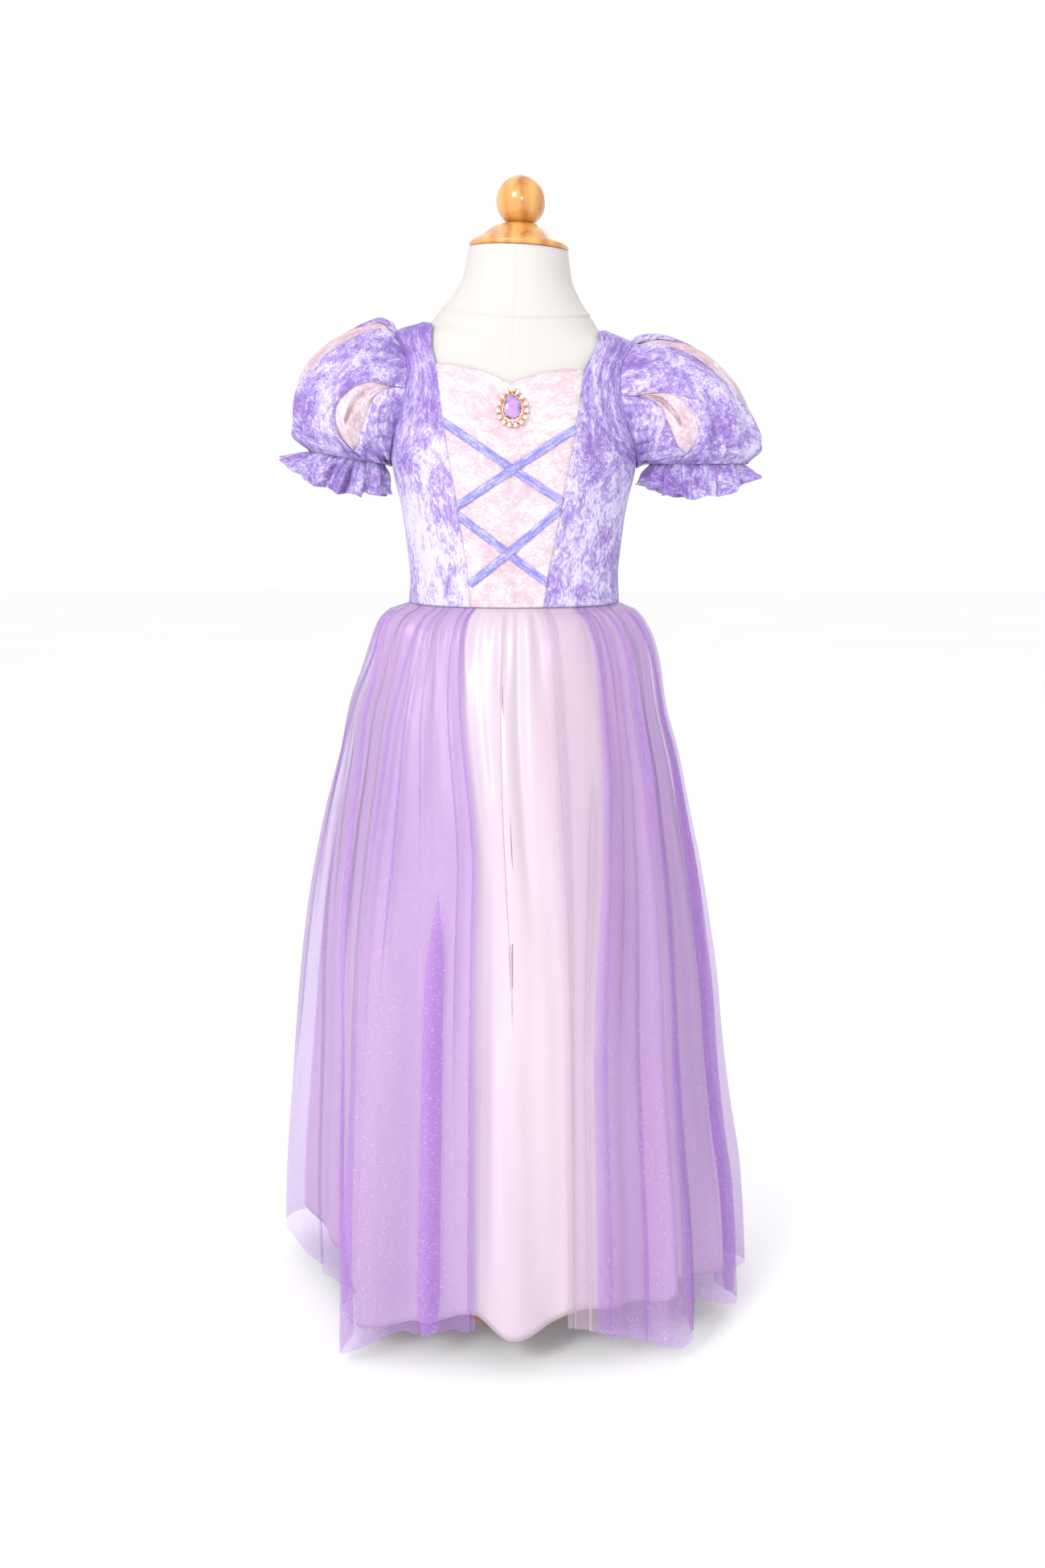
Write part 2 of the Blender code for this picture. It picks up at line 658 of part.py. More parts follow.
def pear_solid(layers, segments):
    """A closed solid of pear outlines from the lowest up, each with its half sizes and its height."""
    solid = bmesh.new()
    bmesh.ops.create_grid(solid, x_segments=segments, y_segments=len(layers) - 1, size=0.5)
    for vert in solid.verts:
        half, height = layers[round((vert.co.y + 0.5) * (len(layers) - 1))]
        spot = teardrop((0.5 - vert.co.x) * 2 * math.pi, half, PEAR_POINT)
        vert.co = (spot.x, spot.y, height)
    bmesh.ops.remove_doubles(solid, verts=solid.verts, dist=WELD)
    bmesh.ops.holes_fill(solid, edges=solid.edges)
    bmesh.ops.recalc_face_normals(solid, faces=solid.faces)
    return solid


def brooch():
    """The setting, a plate with a bead on each claw, and the stone on it."""
    angle = angle_at_x(BROOCH_X, BROOCH_Z)
    lift = BODICE_OUTSIDE + SEAM_GAP
    middle = on_form(angle, BROOCH_Z, lift)
    outward = (on_form(angle, BROOCH_Z, lift + 0.01) - middle).normalized()
    across = Vector((0, 0, 1)).cross(outward).normalized()
    place = Matrix((across, outward.cross(across), outward)).transposed().to_4x4()
    place.translation = middle

    plate = pear_solid(((PLATE_HALF, 0.0), (PLATE_HALF, PLATE_THICK)), 24)
    setting = add_object("brooch_setting", plate, "gold")
    beads = bmesh.new()
    for index in range(BEADS):
        spot = teardrop(2 * math.pi * (index + 0.5) / BEADS, BEAD_RING_HALF, PEAR_POINT)
        where = Matrix.Translation((spot.x, spot.y, BEAD_RADIUS))
        bmesh.ops.create_uvsphere(beads, u_segments=6, v_segments=4, radius=BEAD_RADIUS, matrix=where)
    string = add_object("brooch_beads", beads, "gold")
    CUTTERS.objects.link(string)
    DRESS.objects.unlink(string)
    string.hide_render = True
    string.display_type = "WIRE"
    join = setting.modifiers.new("Beads", "BOOLEAN")
    join.operation = "UNION"
    join.object = string
    join.use_self = True
    above = PLATE_THICK + SEAM_GAP
    table = (STONE_HALF[0] * 0.55, STONE_HALF[1] * 0.55)
    crown = (STONE_HALF[0] * 0.86, STONE_HALF[1] * 0.86)
    layers = (
        (STONE_HALF, above),
        (STONE_HALF, above + STONE_HIGH * 0.35),
        (crown, above + STONE_HIGH * 0.75),
        (table, above + STONE_HIGH),
    )
    stone = add_object("brooch_stone", pear_solid(layers, 16), "stone")
    for piece in (setting, string, stone):
        piece.matrix_world = place


def clear_of_bodice(point, ease):
    """The point itself, or the nearest one outside the bodice with that ease."""
    z = point.z + LEAN_SLOPE * point.x * ramp(point.z, LEAN_FROM, LEAN_FULL)
    if z > FORM_TOP:
        return point
    angle = math.atan2(point.x, -point.y)
    least = form_radius(angle, z) + BODICE_OUTSIDE + ease
    apart = math.hypot(point.x, point.y)
    if apart >= least:
        return point
    return Vector((point.x * least / apart, point.y * least / apart, point.z))


def armhole_point(turn, side):
    """A point of the armhole's rim, lifted off the bodice, at a turn from the shoulder to the front."""
    middle = (UNDERARM + SHOULDER_TIP) / 2
    z = middle + (SHOULDER_TIP - middle) * math.cos(turn)
    angle = angle_at_depth(-ARMHOLE_DEPTH * math.sin(turn), z)
    lift = BODICE_OUTSIDE + SEAM_GAP * 2.7 + SHOULDER_LIFT * ramp(z, 0.930, 0.955)
    return on_form(angle * side, z, lift)


def ring_point(section, turn, side, drop=0.0):
    """A point of a sleeve ring, round from its outer end, 90 degrees in front."""
    outer = Vector((section.outer_x, 0, section.outer_z))
    inner = Vector((section.inner_x, 0, section.inner_z))
    spot = (outer + inner) / 2 + (outer - inner) / 2 * math.cos(turn)
    spot.y = -section.half_depth * math.sin(turn)
    spot.z -= drop * math.sin(turn) ** 2
    spot.x *= side
    return spot


def through(places, points, at):
    """A smooth curve through points at the given places."""
    index = min(max(np.searchsorted(places, at, "right") - 1, 0), len(places) - 2)
    step = places[index + 1] - places[index]
    part = (at - places[index]) / step

    def slope(i):
        low, high = max(i - 1, 0), min(i + 1, len(points) - 1)
        return (points[high] - points[low]) / (places[high] - places[low])

    return (
        points[index] * ((1 + 2 * part) * (1 - part) ** 2)
        + slope(index) * (step * part * (1 - part) ** 2)
        + points[index + 1] * (part**2 * (3 - 2 * part))
        + slope(index + 1) * (step * part**2 * (part - 1))
    )


def puff_point(side_name, turn, v, lift):
    """A point of the puff, lifted out by that much: v runs from the armhole to the cuff's elastic."""
    side = -1 if side_name == "left" else 1
    sections = PUFFS[side_name]
    places = [0.0] + [section.v for section in sections]
    points = [armhole_point(turn, side)] + [ring_point(section, turn, side) for section in sections]
    spot = through(places, points, v)
    middle = through(places, [(a + b) / 2 for a, b in zip(points, opposite(side_name, turn))], v)
    spot += (spot - middle).normalized() * lift
    return clear_of_bodice(spot, SLEEVE_EASE) if v > 0 else spot


def opposite(side_name, turn):
    """The points across each ring of a puff, which give its middle."""
    side = -1 if side_name == "left" else 1
    across = turn + math.pi
    return [armhole_point(across, side)] + [ring_point(s, across, side) for s in PUFFS[side_name]]


def slash_angles(slash, v):
    """The middle of a slash and half its width, in degrees, at v."""
    middle = slash.top + (slash.bottom - slash.top) * v
    part = min(1.0, max(0.0, (v - slash.start) / (slash.end - slash.start)))
    return middle, slash.half * math.sin(math.pi * part**0.9) ** 0.8


def sleeve_strip(name, side_name, low, high, columns, wall, finish, leaf=None):
    """A strip of a puff from low(v) to high(v) degrees round it; a leaf lies under the strips beside it.

    Strips and leaves share their rows, and a leaf's ends lie on the straight between two rows.
    """
    rows = [row / SLEEVE_ROWS for row in range(SLEEVE_ROWS + 1)]
    if leaf:
        end = leaf.end + INSERT_PAST
        rows = [INSERT_FROM, *(row for row in rows if INSERT_FROM < row < end), end]

    def surface(u, v):
        column = round(u * columns)
        share = (columns - column if side_name == "right" else column) / columns
        along = rows[round((1 - v) * (len(rows) - 1))]
        turn = math.radians(low(along) + (high(along) - low(along)) * share)
        if leaf:
            above = math.floor(along * SLEEVE_ROWS + 1e-6) / SLEEVE_ROWS
            part = (along - above) * SLEEVE_ROWS
            start = puff_point(side_name, turn, above, -leaf.recess)
            stop = puff_point(side_name, turn, above + 1 / SLEEVE_ROWS, -leaf.recess)
            return start * (1 - part) + stop * part
        head = HEAD_GATHER_DEPTH * ramp(along, 0.02, 0.12) * (1 - ramp(along, 0.15, 0.40))
        gathers = (head + CUFF_GATHER_DEPTH * ramp(along, 0.70, 0.95)) * (column % 2)
        if column in (1, columns - 1):
            gathers *= 0.45
        return puff_point(side_name, turn, along, gathers)

    cloth(name, surface, columns, len(rows) - 1, wall, finish)


def build_sleeve(side_name):
    """Two petals and an underarm piece, three leaves in the slashes between them, and the frill."""
    front, top, back = SLASHES[side_name]
    gap = math.degrees(SEAM_GAP / 0.030)

    def edge(slash, sign, turns=0.0, lap=gap):
        def angle(v):
            middle, half = slash_angles(slash, v)
            return middle + turns + sign * (half + lap)

        return angle

    prefix = f"sleeve_{side_name}_"
    strips = (
        ("petal_front", edge(top, 1), edge(front, -1), PETAL_COLUMNS),
        ("petal_back", edge(back, 1), edge(top, -1), PETAL_COLUMNS),
        ("underarm", edge(front, 1), edge(back, -1, 360.0), UNDERARM_COLUMNS),
    )
    for name, low, high, columns in strips:
        sleeve_strip(prefix + name, side_name, low, high, columns, SLEEVE_WALL, "lilac_velvet")
    for slash in SLASHES[side_name]:
        sides = [edge(slash, way, lap=SLASH_LAP) for way in (-1, 1)]
        name = f"{prefix}insert_{slash.name}"
        sleeve_strip(name, side_name, *sides, INSERT_COLUMNS, INSERT_WALL, "pink_velvet", leaf=slash)
    frill(side_name)


def frill(side_name):
    """The frill under the elastic: it starts at the puff's last ring and waves more towards its edge."""
    side = -1 if side_name == "left" else 1
    last = PUFFS[side_name][-1]
    places = [0.0] + [section.v for section in FRILLS[side_name]]
    slant = Vector((last.outer_x - last.inner_x, 0, last.outer_z - last.inner_z)).normalized()
    down = Vector((slant.z * side, 0, -slant.x))

    def rings(turn):
        """The frill's rings; its top edge is tucked inside the end of the puff."""
        rim, far = ring_point(last, turn, side), ring_point(last, turn + math.pi, side)
        drop = SEAM_GAP + FRILL_DROP * max(0.0, math.cos(turn))
        top = rim + (far - rim).normalized() * FRILL_TUCK + down * drop
        return [top] + [ring_point(s, turn, side, s.drop) for s in FRILLS[side_name]]

    def surface(u, v):
        turn = 2 * math.pi * (u if side < 0 else 1 - u)
        along = 1 - v
        spot = through(places, rings(turn), along)
        outward = (spot - through(places, rings(turn + math.pi), along)).normalized()
        spot += outward * FRILL_WAVE_DEPTH * math.cos(FRILL_WAVES * turn) * along
        return clear_of_bodice(spot, SLEEVE_EASE)

    cloth(f"sleeve_{side_name}_frill", surface, FRILL_WAVES * 4, 2, SLEEVE_WALL, "lilac_velvet", closed=True)


def bump(place, fold):
    """A fold's share at a place: one on its ridge and zero past its foot on either side."""
    away = (place - fold.place + 180.0) % 360.0 - 180.0
    part = away / (fold.after if away > 0 else fold.before)
    return math.cos(math.pi / 2 * part) ** 2 if abs(part) < 1 else 0.0


def skirt_place(place, z, layer):
    """A layer of the skirt at one of the shared places."""
    near = (place + 60.0) % 360.0 - 60.0
    fallen = (WAIST - z) / WAIST
    hold = 1 - (ramp(fallen, 0.0, 0.35) if near < 0 else ramp(fallen, 0.05, 0.60))
    angle = math.radians(near + read(SLANT, "turn", near) * hold)
    reach = [read(FLARE, name, z) for name in ("right" if math.sin(angle) > 0 else "left", "front", "back")]
    spread = ramp(fallen, 0.0, 0.12)
    grown = fallen**0.75
    radius = oval(angle, *reach, SKIRT_SQUARE) - FOLD_BASE * grown - LAYER_GAP * spread
    radius += layer.share * grown * sum(fold.rise * bump(near, fold) for fold in FOLDS)
    radius += layer.waist + (layer.below - layer.waist) * spread
    if round(place / PLACE_STEP) % 2:
        radius -= GATHER_DEPTH * (1 - ramp(fallen, 0.04, 0.30))
    return Vector((radius * math.sin(angle), -radius * math.cos(angle), z))


def skirt_point(place, z, layer):
    """A layer of the skirt anywhere: it runs straight from one shared place to the next."""
    low = math.floor(place / PLACE_STEP) * PLACE_STEP
    share = (place - low) / PLACE_STEP
    return skirt_place(low, z, layer) * (1 - share) + skirt_place(low + PLACE_STEP, z, layer) * share


def skirt_panel(panel):
    """One panel of the skirt, cut along two places and hanging to its layer's hem."""
    layer = LAYERS[panel.layer]
    gap = math.degrees(SEAM_GAP / 2 / 0.08)
    first = math.floor(panel.start / PLACE_STEP + 1) * PLACE_STEP
    inside = np.arange(first, panel.end, PLACE_STEP)
    places = [panel.start + gap, *inside, panel.end - gap]

    def surface(u, v):
        place = places[round(u * (len(places) - 1))]
        fallen = (1 - v) ** 1.5
        hem = read(HEM, layer.hem, (place + 48.0) % 360.0 - 48.0)
        z = SKIRT_TOP + (MEAN_HEM - SKIRT_TOP) * fallen + (hem - MEAN_HEM) * fallen**3
        return skirt_point(place, z, layer)

    cloth(panel.name, surface, len(places) - 1, SKIRT_ROWS, layer.wall, layer.finish)


for old in list(bpy.data.objects):
    bpy.data.objects.remove(old, do_unlink=True)
DRESS = collection("princess_dress")
CUTTERS = collection("princess_dress_helpers")

build_form()
centre_panel()
for side, word in ((-1, "left"), (1, "right")):
    bodice_panel(f"bodice_front_{word}", FRONT_ROWS, side, back=False)
    bodice_panel(f"bodice_back_{word}", BACK_ROWS, side, back=True)
upper, lower = crossing(*LACING[:2]), crossing(*LACING[2:])
for lace, cross in zip(LACING, (upper, upper, lower, lower)):
    lacing(lace, cross)
brooch()
build_sleeve("left")
build_sleeve("right")
for panel in SKIRT_PANELS:
    skirt_panel(panel)
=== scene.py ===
"""The visual layer of a child's princess costume dress on its dress form.

Every cloth piece is a fine grid laid on a surface that is worked out from the garment's own sizes,
and the velvet and satin pieces are then thickened into a thin wall. Left and right are those of somebody who
faces the dress.
Places round the skirt and the body are in degrees from the front, growing to the right.
"""

import math
from collections import namedtuple

import bmesh
import bpy
import numpy as np
from mathutils import Matrix, Vector


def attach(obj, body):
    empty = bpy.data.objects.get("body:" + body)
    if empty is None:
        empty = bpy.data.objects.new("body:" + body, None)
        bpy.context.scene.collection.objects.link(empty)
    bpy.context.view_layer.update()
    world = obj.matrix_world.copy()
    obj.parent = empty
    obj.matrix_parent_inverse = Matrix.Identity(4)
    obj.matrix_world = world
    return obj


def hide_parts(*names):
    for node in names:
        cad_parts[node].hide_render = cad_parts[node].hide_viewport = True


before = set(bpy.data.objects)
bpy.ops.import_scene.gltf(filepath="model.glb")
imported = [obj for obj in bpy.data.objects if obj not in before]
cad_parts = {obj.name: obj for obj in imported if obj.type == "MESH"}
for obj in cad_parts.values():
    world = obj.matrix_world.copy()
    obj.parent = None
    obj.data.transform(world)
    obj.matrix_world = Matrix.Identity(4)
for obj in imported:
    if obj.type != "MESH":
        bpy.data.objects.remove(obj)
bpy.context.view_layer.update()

# Sizes of the garment, in metres

WAIST = 0.7193
UNDERARM = 0.850
SHOULDER_TIP = 0.963
NECK_POINT = 0.9714
FORM_TOP = 1.0425
LEAN_SLOPE, LEAN_FROM, LEAN_FULL = 0.045, 0.80, 0.93
BODICE_OUTSIDE = 0.0039
VELVET_WALL = 0.0010
ARMHOLE_DEPTH = 0.042
SWEETHEART_DIP, SWEETHEART_RISE = 0.9185, 0.0150

Ring = namedtuple("Ring", "z half_width front back square shift")
FORM_RINGS = (
    Ring(0.560, 0.078, 0.054, 0.058, 2.2, 0.0),
    Ring(0.570, 0.094, 0.068, 0.072, 2.3, 0.0),
    Ring(0.610, 0.1035, 0.0755, 0.080, 2.4, 0.0),
    Ring(0.680, 0.1015, 0.0760, 0.074, 2.4, 0.0),
    Ring(0.719, 0.0975, 0.0755, 0.068, 2.4, 0.0),
    Ring(0.744, 0.0963, 0.0755, 0.066, 2.4, 0.0),
    Ring(0.775, 0.0989, 0.0765, 0.067, 2.4, 0.0),
    Ring(0.811, 0.1037, 0.0780, 0.071, 2.4, 0.0),
    Ring(0.838, 0.1100, 0.0785, 0.075, 2.4, 0.0),
    Ring(0.862, 0.1135, 0.0775, 0.078, 2.4, 0.0),
    Ring(0.890, 0.1150, 0.0735, 0.079, 2.3, 0.0),
    Ring(0.912, 0.1158, 0.0690, 0.077, 2.2, 0.0),
    Ring(0.932, 0.1163, 0.0630, 0.071, 2.1, 0.0),
    Ring(0.950, 0.1160, 0.0550, 0.061, 2.0, 0.0),
    Ring(0.9585, 0.1130, 0.0510, 0.056, 2.0, 0.0),
    Ring(0.9635, 0.1050, 0.0490, 0.053, 2.0, 0.0),
    Ring(0.9675, 0.0930, 0.0478, 0.051, 2.0, 0.0003),
    Ring(0.9714, 0.0830, 0.0470, 0.0495, 2.0, 0.0006),
    Ring(0.9765, 0.0765, 0.0466, 0.0488, 2.0, 0.0010),
    Ring(0.984, 0.0715, 0.0463, 0.0482, 2.0, 0.0016),
    Ring(1.000, 0.0592, 0.0455, 0.0470, 2.0, 0.0030),
    Ring(1.0175, 0.0505, 0.0447, 0.0460, 2.0, 0.0037),
    Ring(1.0425, 0.0460, 0.0435, 0.0448, 2.0, 0.0045),
)

FrontRow = namedtuple("FrontRow", "z left right outer_z")
FRONT_ROWS = (
    FrontRow(WAIST, 0.0403, 0.0288, WAIST),
    FrontRow(0.745, 0.0430, 0.0322, 0.745),
    FrontRow(0.775, 0.0468, 0.0385, 0.775),
    FrontRow(0.805, 0.0515, 0.0438, 0.805),
    FrontRow(0.830, 0.0560, 0.0485, 0.830),
    FrontRow(UNDERARM, 0.0596, 0.0525, UNDERARM),
    FrontRow(0.870, 0.0630, 0.0558, 0.8550),
    FrontRow(0.888, 0.0659, 0.0588, 0.869),
    FrontRow(0.904, 0.0682, 0.0618, 0.891),
    FrontRow(0.919, 0.0704, 0.0640, 0.915),
    FrontRow(0.933, 0.0725, 0.0660, 0.938),
    FrontRow(0.948, 0.0765, 0.0745, 0.953),
    FrontRow(0.960, 0.0770, 0.0800, 0.9600),
    FrontRow(0.9675, 0.0770, 0.0800, 0.9622),
    FrontRow(NECK_POINT, None, None, SHOULDER_TIP),
)
BackRow = namedtuple("BackRow", "z x outer_z")
BACK_ROWS = (
    BackRow(WAIST, 0.0, WAIST),
    BackRow(0.745, 0.0, 0.745),
    BackRow(0.775, 0.0, 0.775),
    BackRow(0.805, 0.0, 0.805),
    BackRow(0.830, 0.0, 0.830),
    BackRow(UNDERARM, 0.0, UNDERARM),
    BackRow(0.874, 0.0, 0.8550),
    BackRow(0.895, 0.0, 0.869),
    BackRow(0.914, 0.0, 0.891),
    BackRow(0.929, 0.0, 0.913),
    BackRow(0.940, 0.0, 0.930),
    BackRow(0.942, 0.026, 0.941),
    BackRow(0.947, 0.048, 0.950),
    BackRow(0.955, 0.064, 0.9565),
    BackRow(0.9645, 0.0745, 0.9610),
    BackRow(0.9690, 0.0795, 0.9624),
    BackRow(NECK_POINT, None, SHOULDER_TIP),
)

Lace = namedtuple("Lace", "name x z end_x end_z over")
LACING = (
    Lace("lacing_upper_under", -0.0660, 0.8838, 0.0460, 0.8151, False),
    Lace("lacing_upper_over", 0.0590, 0.8814, -0.0540, 0.8101, True),
    Lace("lacing_lower_under", -0.0533, 0.8044, 0.0329, 0.7407, False),
    Lace("lacing_lower_over", 0.0446, 0.8091, -0.0413, 0.7400, True),
)
LACE_WIDTH = 0.0072

Puff = namedtuple("Puff", "v outer_x outer_z inner_x inner_z half_depth")
PUFFS = {
    "left": (
        Puff(0.16, 0.1273, 0.9801, 0.1192, 0.8515, 0.053),
        Puff(0.36, 0.1651, 0.9671, 0.1202, 0.8512, 0.058),
        Puff(0.56, 0.1976, 0.9366, 0.1213, 0.8508, 0.059),
        Puff(0.76, 0.2077, 0.9020, 0.1223, 0.8502, 0.053),
        Puff(0.90, 0.2038, 0.8761, 0.1233, 0.8495, 0.040),
        Puff(1.00, 0.1906, 0.8597, 0.1243, 0.8485, 0.026),
    ),
    "right": (
        Puff(0.16, 0.1374, 0.9649, 0.1196, 0.8490, 0.053),
        Puff(0.36, 0.1722, 0.9555, 0.1216, 0.8497, 0.058),
        Puff(0.56, 0.2062, 0.9263, 0.1240, 0.8500, 0.059),
        Puff(0.76, 0.2255, 0.8909, 0.1264, 0.8499, 0.053),
        Puff(0.90, 0.2293, 0.8672, 0.1288, 0.8494, 0.040),
        Puff(1.00, 0.2184, 0.8485, 0.1312, 0.8485, 0.026),
    ),
}
Frill = namedtuple("Frill", "v outer_x outer_z inner_x inner_z half_depth drop")
FRILLS = {
    "left": (
        Frill(0.45, 0.2000, 0.8580, 0.1240, 0.8400, 0.031, 0.005),
        Frill(1.00, 0.2168, 0.8522, 0.1250, 0.8222, 0.042, 0.012),
    ),
    "right": (
        Frill(0.45, 0.2220, 0.8430, 0.1285, 0.8410, 0.031, 0.006),
        Frill(1.00, 0.2279, 0.8372, 0.1254, 0.8290, 0.042, 0.015),
    ),
}
Slash = namedtuple("Slash", "name top bottom half start end")
SLASHES = {
    "left": (
        Slash("front", 84.0, 118.0, 17.0, 0.08, 0.85),
        Slash("top", 20.0, 2.0, 23.0, 0.03, 0.94),
        Slash("back", -72.0, -118.0, 13.0, 0.05, 0.80),
    ),
    "right": (
        Slash("front", 83.0, 118.0, 14.0, 0.07, 0.86),
        Slash("top", 20.0, 6.0, 20.0, 0.03, 0.94),
        Slash("back", -70.0, -118.0, 13.0, 0.05, 0.80),
    ),
}

Flare = namedtuple("Flare", "z left right front back")
FLARES = (
    Flare(0.010, 0.2355, 0.2445, 0.2060, 0.2250),
    Flare(0.080, 0.2342, 0.2400, 0.2030, 0.2210),
    Flare(0.135, 0.2312, 0.2345, 0.1990, 0.2160),
    Flare(0.205, 0.2250, 0.2225, 0.1930, 0.2100),
    Flare(0.275, 0.2185, 0.2128, 0.1870, 0.2030),
    Flare(0.337, 0.2135, 0.2065, 0.1810, 0.1960),
    Flare(0.400, 0.2065, 0.1970, 0.1730, 0.1870),
    Flare(0.457, 0.1975, 0.1870, 0.1640, 0.1770),
    Flare(0.507, 0.1880, 0.1760, 0.1540, 0.1660),
    Flare(0.565, 0.1740, 0.1635, 0.1420, 0.1520),
    Flare(0.615, 0.1630, 0.1490, 0.1300, 0.1380),
    Flare(0.655, 0.1470, 0.1415, 0.1180, 0.1220),
    Flare(0.680, 0.1370, 0.1335, 0.1085, 0.1090),
    Flare(0.700, 0.1275, 0.1225, 0.0990, 0.0950),
    Flare(WAIST, 0.1045, 0.1042, 0.0820, 0.0745),
)
SKIRT_SQUARE = 2.15
FOLD_BASE = 0.038
LAYER_GAP = 0.0075
Fold = namedtuple("Fold", "place rise before after")
FOLDS = (
    Fold(32.0, 0.014, 10.0, 10.0),
    Fold(48.0, 0.034, 13.0, 10.0),
    Fold(72.0, 0.034, 14.0, 9.0),
    Fold(92.0, 0.036, 12.0, 11.0),
    Fold(112.0, 0.028, 10.0, 11.0),
    Fold(132.0, 0.036, 12.0, 10.0),
    Fold(152.0, 0.026, 10.0, 11.0),
    Fold(172.0, 0.034, 11.0, 9.0),
    Fold(188.0, 0.028, 9.0, 11.0),
    Fold(208.0, 0.036, 11.0, 9.0),
    Fold(228.0, 0.026, 11.0, 11.0),
    Fold(248.0, 0.070, 13.0, 29.0),
    Fold(286.0, -0.020, 10.0, 16.0),
    Fold(316.0, 0.046, 12.0, 13.0),
    Fold(332.0, 0.014, 8.0, 9.0),
    Fold(0.0, 0.024, 15.0, 15.0),
)
Slant = namedtuple("Slant", "place turn")
SLANTS = (
    Slant(-60.0, 0.0),
    Slant(-48.0, -2.0),
    Slant(-24.0, -11.0),
    Slant(-12.0, -12.0),
    Slant(0.0, -6.0),
    Slant(18.0, -3.0),
    Slant(26.0, 12.0),
    Slant(48.0, 8.0),
    Slant(72.0, 2.0),
    Slant(100.0, 0.0),
)
Hem = namedtuple("Hem", "place satin tulle")
HEMS = (
    Hem(-48.0, 0.034, 0.010),
    Hem(-32.0, 0.040, 0.036),
    Hem(-14.0, 0.052, 0.040),
    Hem(0.0, 0.036, 0.040),
    Hem(26.0, 0.056, 0.036),
    Hem(48.0, 0.058, 0.015),
    Hem(58.0, 0.057, 0.036),
    Hem(72.0, 0.052, 0.018),
    Hem(92.0, 0.048, 0.018),
    Hem(130.0, 0.046, 0.014),
    Hem(180.0, 0.048, 0.018),
    Hem(228.0, 0.046, 0.018),
    Hem(250.0, 0.060, 0.026),
    Hem(270.0, 0.058, 0.020),
    Hem(290.0, 0.044, 0.018),
    Hem(312.0, 0.034, 0.010),
)
# Pleats where the tulle doubles back on itself: place, how wide the doubled band is, which way its outer
# edge faces, how far its layers stand apart, and how far down it starts and ends (0 waist, 1 hem)
Pleat = namedtuple("Pleat", "place width facing apart start end")
PLEATS = (
    Pleat(29.0, 1.4, -1, 0.0030, 0.00, 1.10),
    Pleat(34.5, 1.6, -1, 0.0030, 0.00, 0.62),
    Pleat(40.0, 1.5, -1, 0.0032, 0.02, 1.10),
    Pleat(46.0, 1.2, 1, 0.0028, 0.00, 0.40),
    Pleat(52.0, 2.2, -1, 0.0035, 0.05, 1.10),
    Pleat(60.0, 1.5, -1, 0.0030, 0.00, 0.55),
    Pleat(66.0, 1.8, -1, 0.0032, 0.10, 0.95),
    Pleat(76.0, 2.0, -1, 0.0035, 0.00, 1.10),
    Pleat(86.0, 1.5, 1, 0.0030, 0.00, 0.60),
    Pleat(97.0, 2.0, 1, 0.0035, 0.05, 1.10),
    Pleat(107.0, 1.4, -1, 0.0030, 0.00, 0.50),
    Pleat(118.0, 2.4, 1, 0.0035, 0.03, 1.10),
    Pleat(127.0, 1.5, -1, 0.0030, 0.00, 0.70),
    Pleat(138.0, 1.9, -1, 0.0035, 0.08, 1.10),
    Pleat(147.0, 1.4, 1, 0.0030, 0.00, 0.45),
    Pleat(158.0, 2.3, 1, 0.0035, 0.04, 1.10),
    Pleat(167.0, 1.5, -1, 0.0030, 0.00, 0.60),
    Pleat(191.0, 1.6, 1, 0.0030, 0.00, 0.75),
    Pleat(201.0, 2.2, -1, 0.0035, 0.05, 1.10),
    Pleat(213.0, 1.5, 1, 0.0030, 0.00, 0.50),
    Pleat(223.0, 2.0, 1, 0.0035, 0.06, 1.10),
    Pleat(233.0, 1.4, -1, 0.0030, 0.00, 0.60),
    Pleat(243.0, 2.2, 1, 0.0035, 0.10, 1.10),
    Pleat(254.0, 1.8, 1, 0.0032, 0.02, 0.80),
    Pleat(263.0, 1.3, 1, 0.0028, 0.00, 0.55),
    Pleat(271.0, 1.6, 1, 0.0030, 0.05, 1.10),
    Pleat(280.0, 1.5, 1, 0.0030, 0.00, 0.50),
    Pleat(288.0, 1.8, -1, 0.0030, 0.03, 0.60),
    Pleat(297.0, 1.5, 1, 0.0030, 0.00, 0.55),
    Pleat(304.0, 1.6, 1, 0.0030, 0.05, 0.80),
    Pleat(311.5, 1.2, -1, 0.0028, 0.00, 0.45),
    Pleat(320.0, 1.5, 1, 0.0030, 0.00, 0.55),
    Pleat(326.5, 1.3, 1, 0.0028, 0.00, 0.40),
    Pleat(334.5, 4.2, -1, 0.0034, 0.36, 1.10),
    Pleat(340.0, 1.1, 1, 0.0026, 0.00, 0.70),
    Pleat(345.5, 1.3, 1, 0.0026, 0.00, 1.10),
)
DENSE = 600

# Shared forms


def smooth_table(rows):
    """A table as dense columns on curves that pass through its rows and never overshoot them."""
    names = rows[0]._fields
    at = np.array([getattr(row, names[0]) for row in rows], float)
    dense = {names[0]: np.linspace(at[0], at[-1], DENSE)}
    step = np.diff(at)
    for name in names[1:]:
        value = np.array([getattr(row, name) for row in rows], float)
        rate = np.diff(value) / step
        slope = np.zeros(len(at))
        same = rate[:-1] * rate[1:] > 0
        slope[1:-1][same] = 2 * rate[:-1][same] * rate[1:][same] / (rate[:-1] + rate[1:])[same]
        slope[0], slope[-1] = rate[0], rate[-1]
        place = np.clip(np.searchsorted(at, dense[names[0]], "right") - 1, 0, len(step) - 1)
        part = (dense[names[0]] - at[place]) / step[place]
        dense[name] = (
            value[place] * (1 + 2 * part) * (1 - part) ** 2
            + slope[place] * step[place] * part * (1 - part) ** 2
            + value[place + 1] * part**2 * (3 - 2 * part)
            + slope[place + 1] * step[place] * part**2 * (part - 1)
        )
    return dense


def read(table, name, at):
    first = next(iter(table))
    return np.interp(at, table[first], table[name])


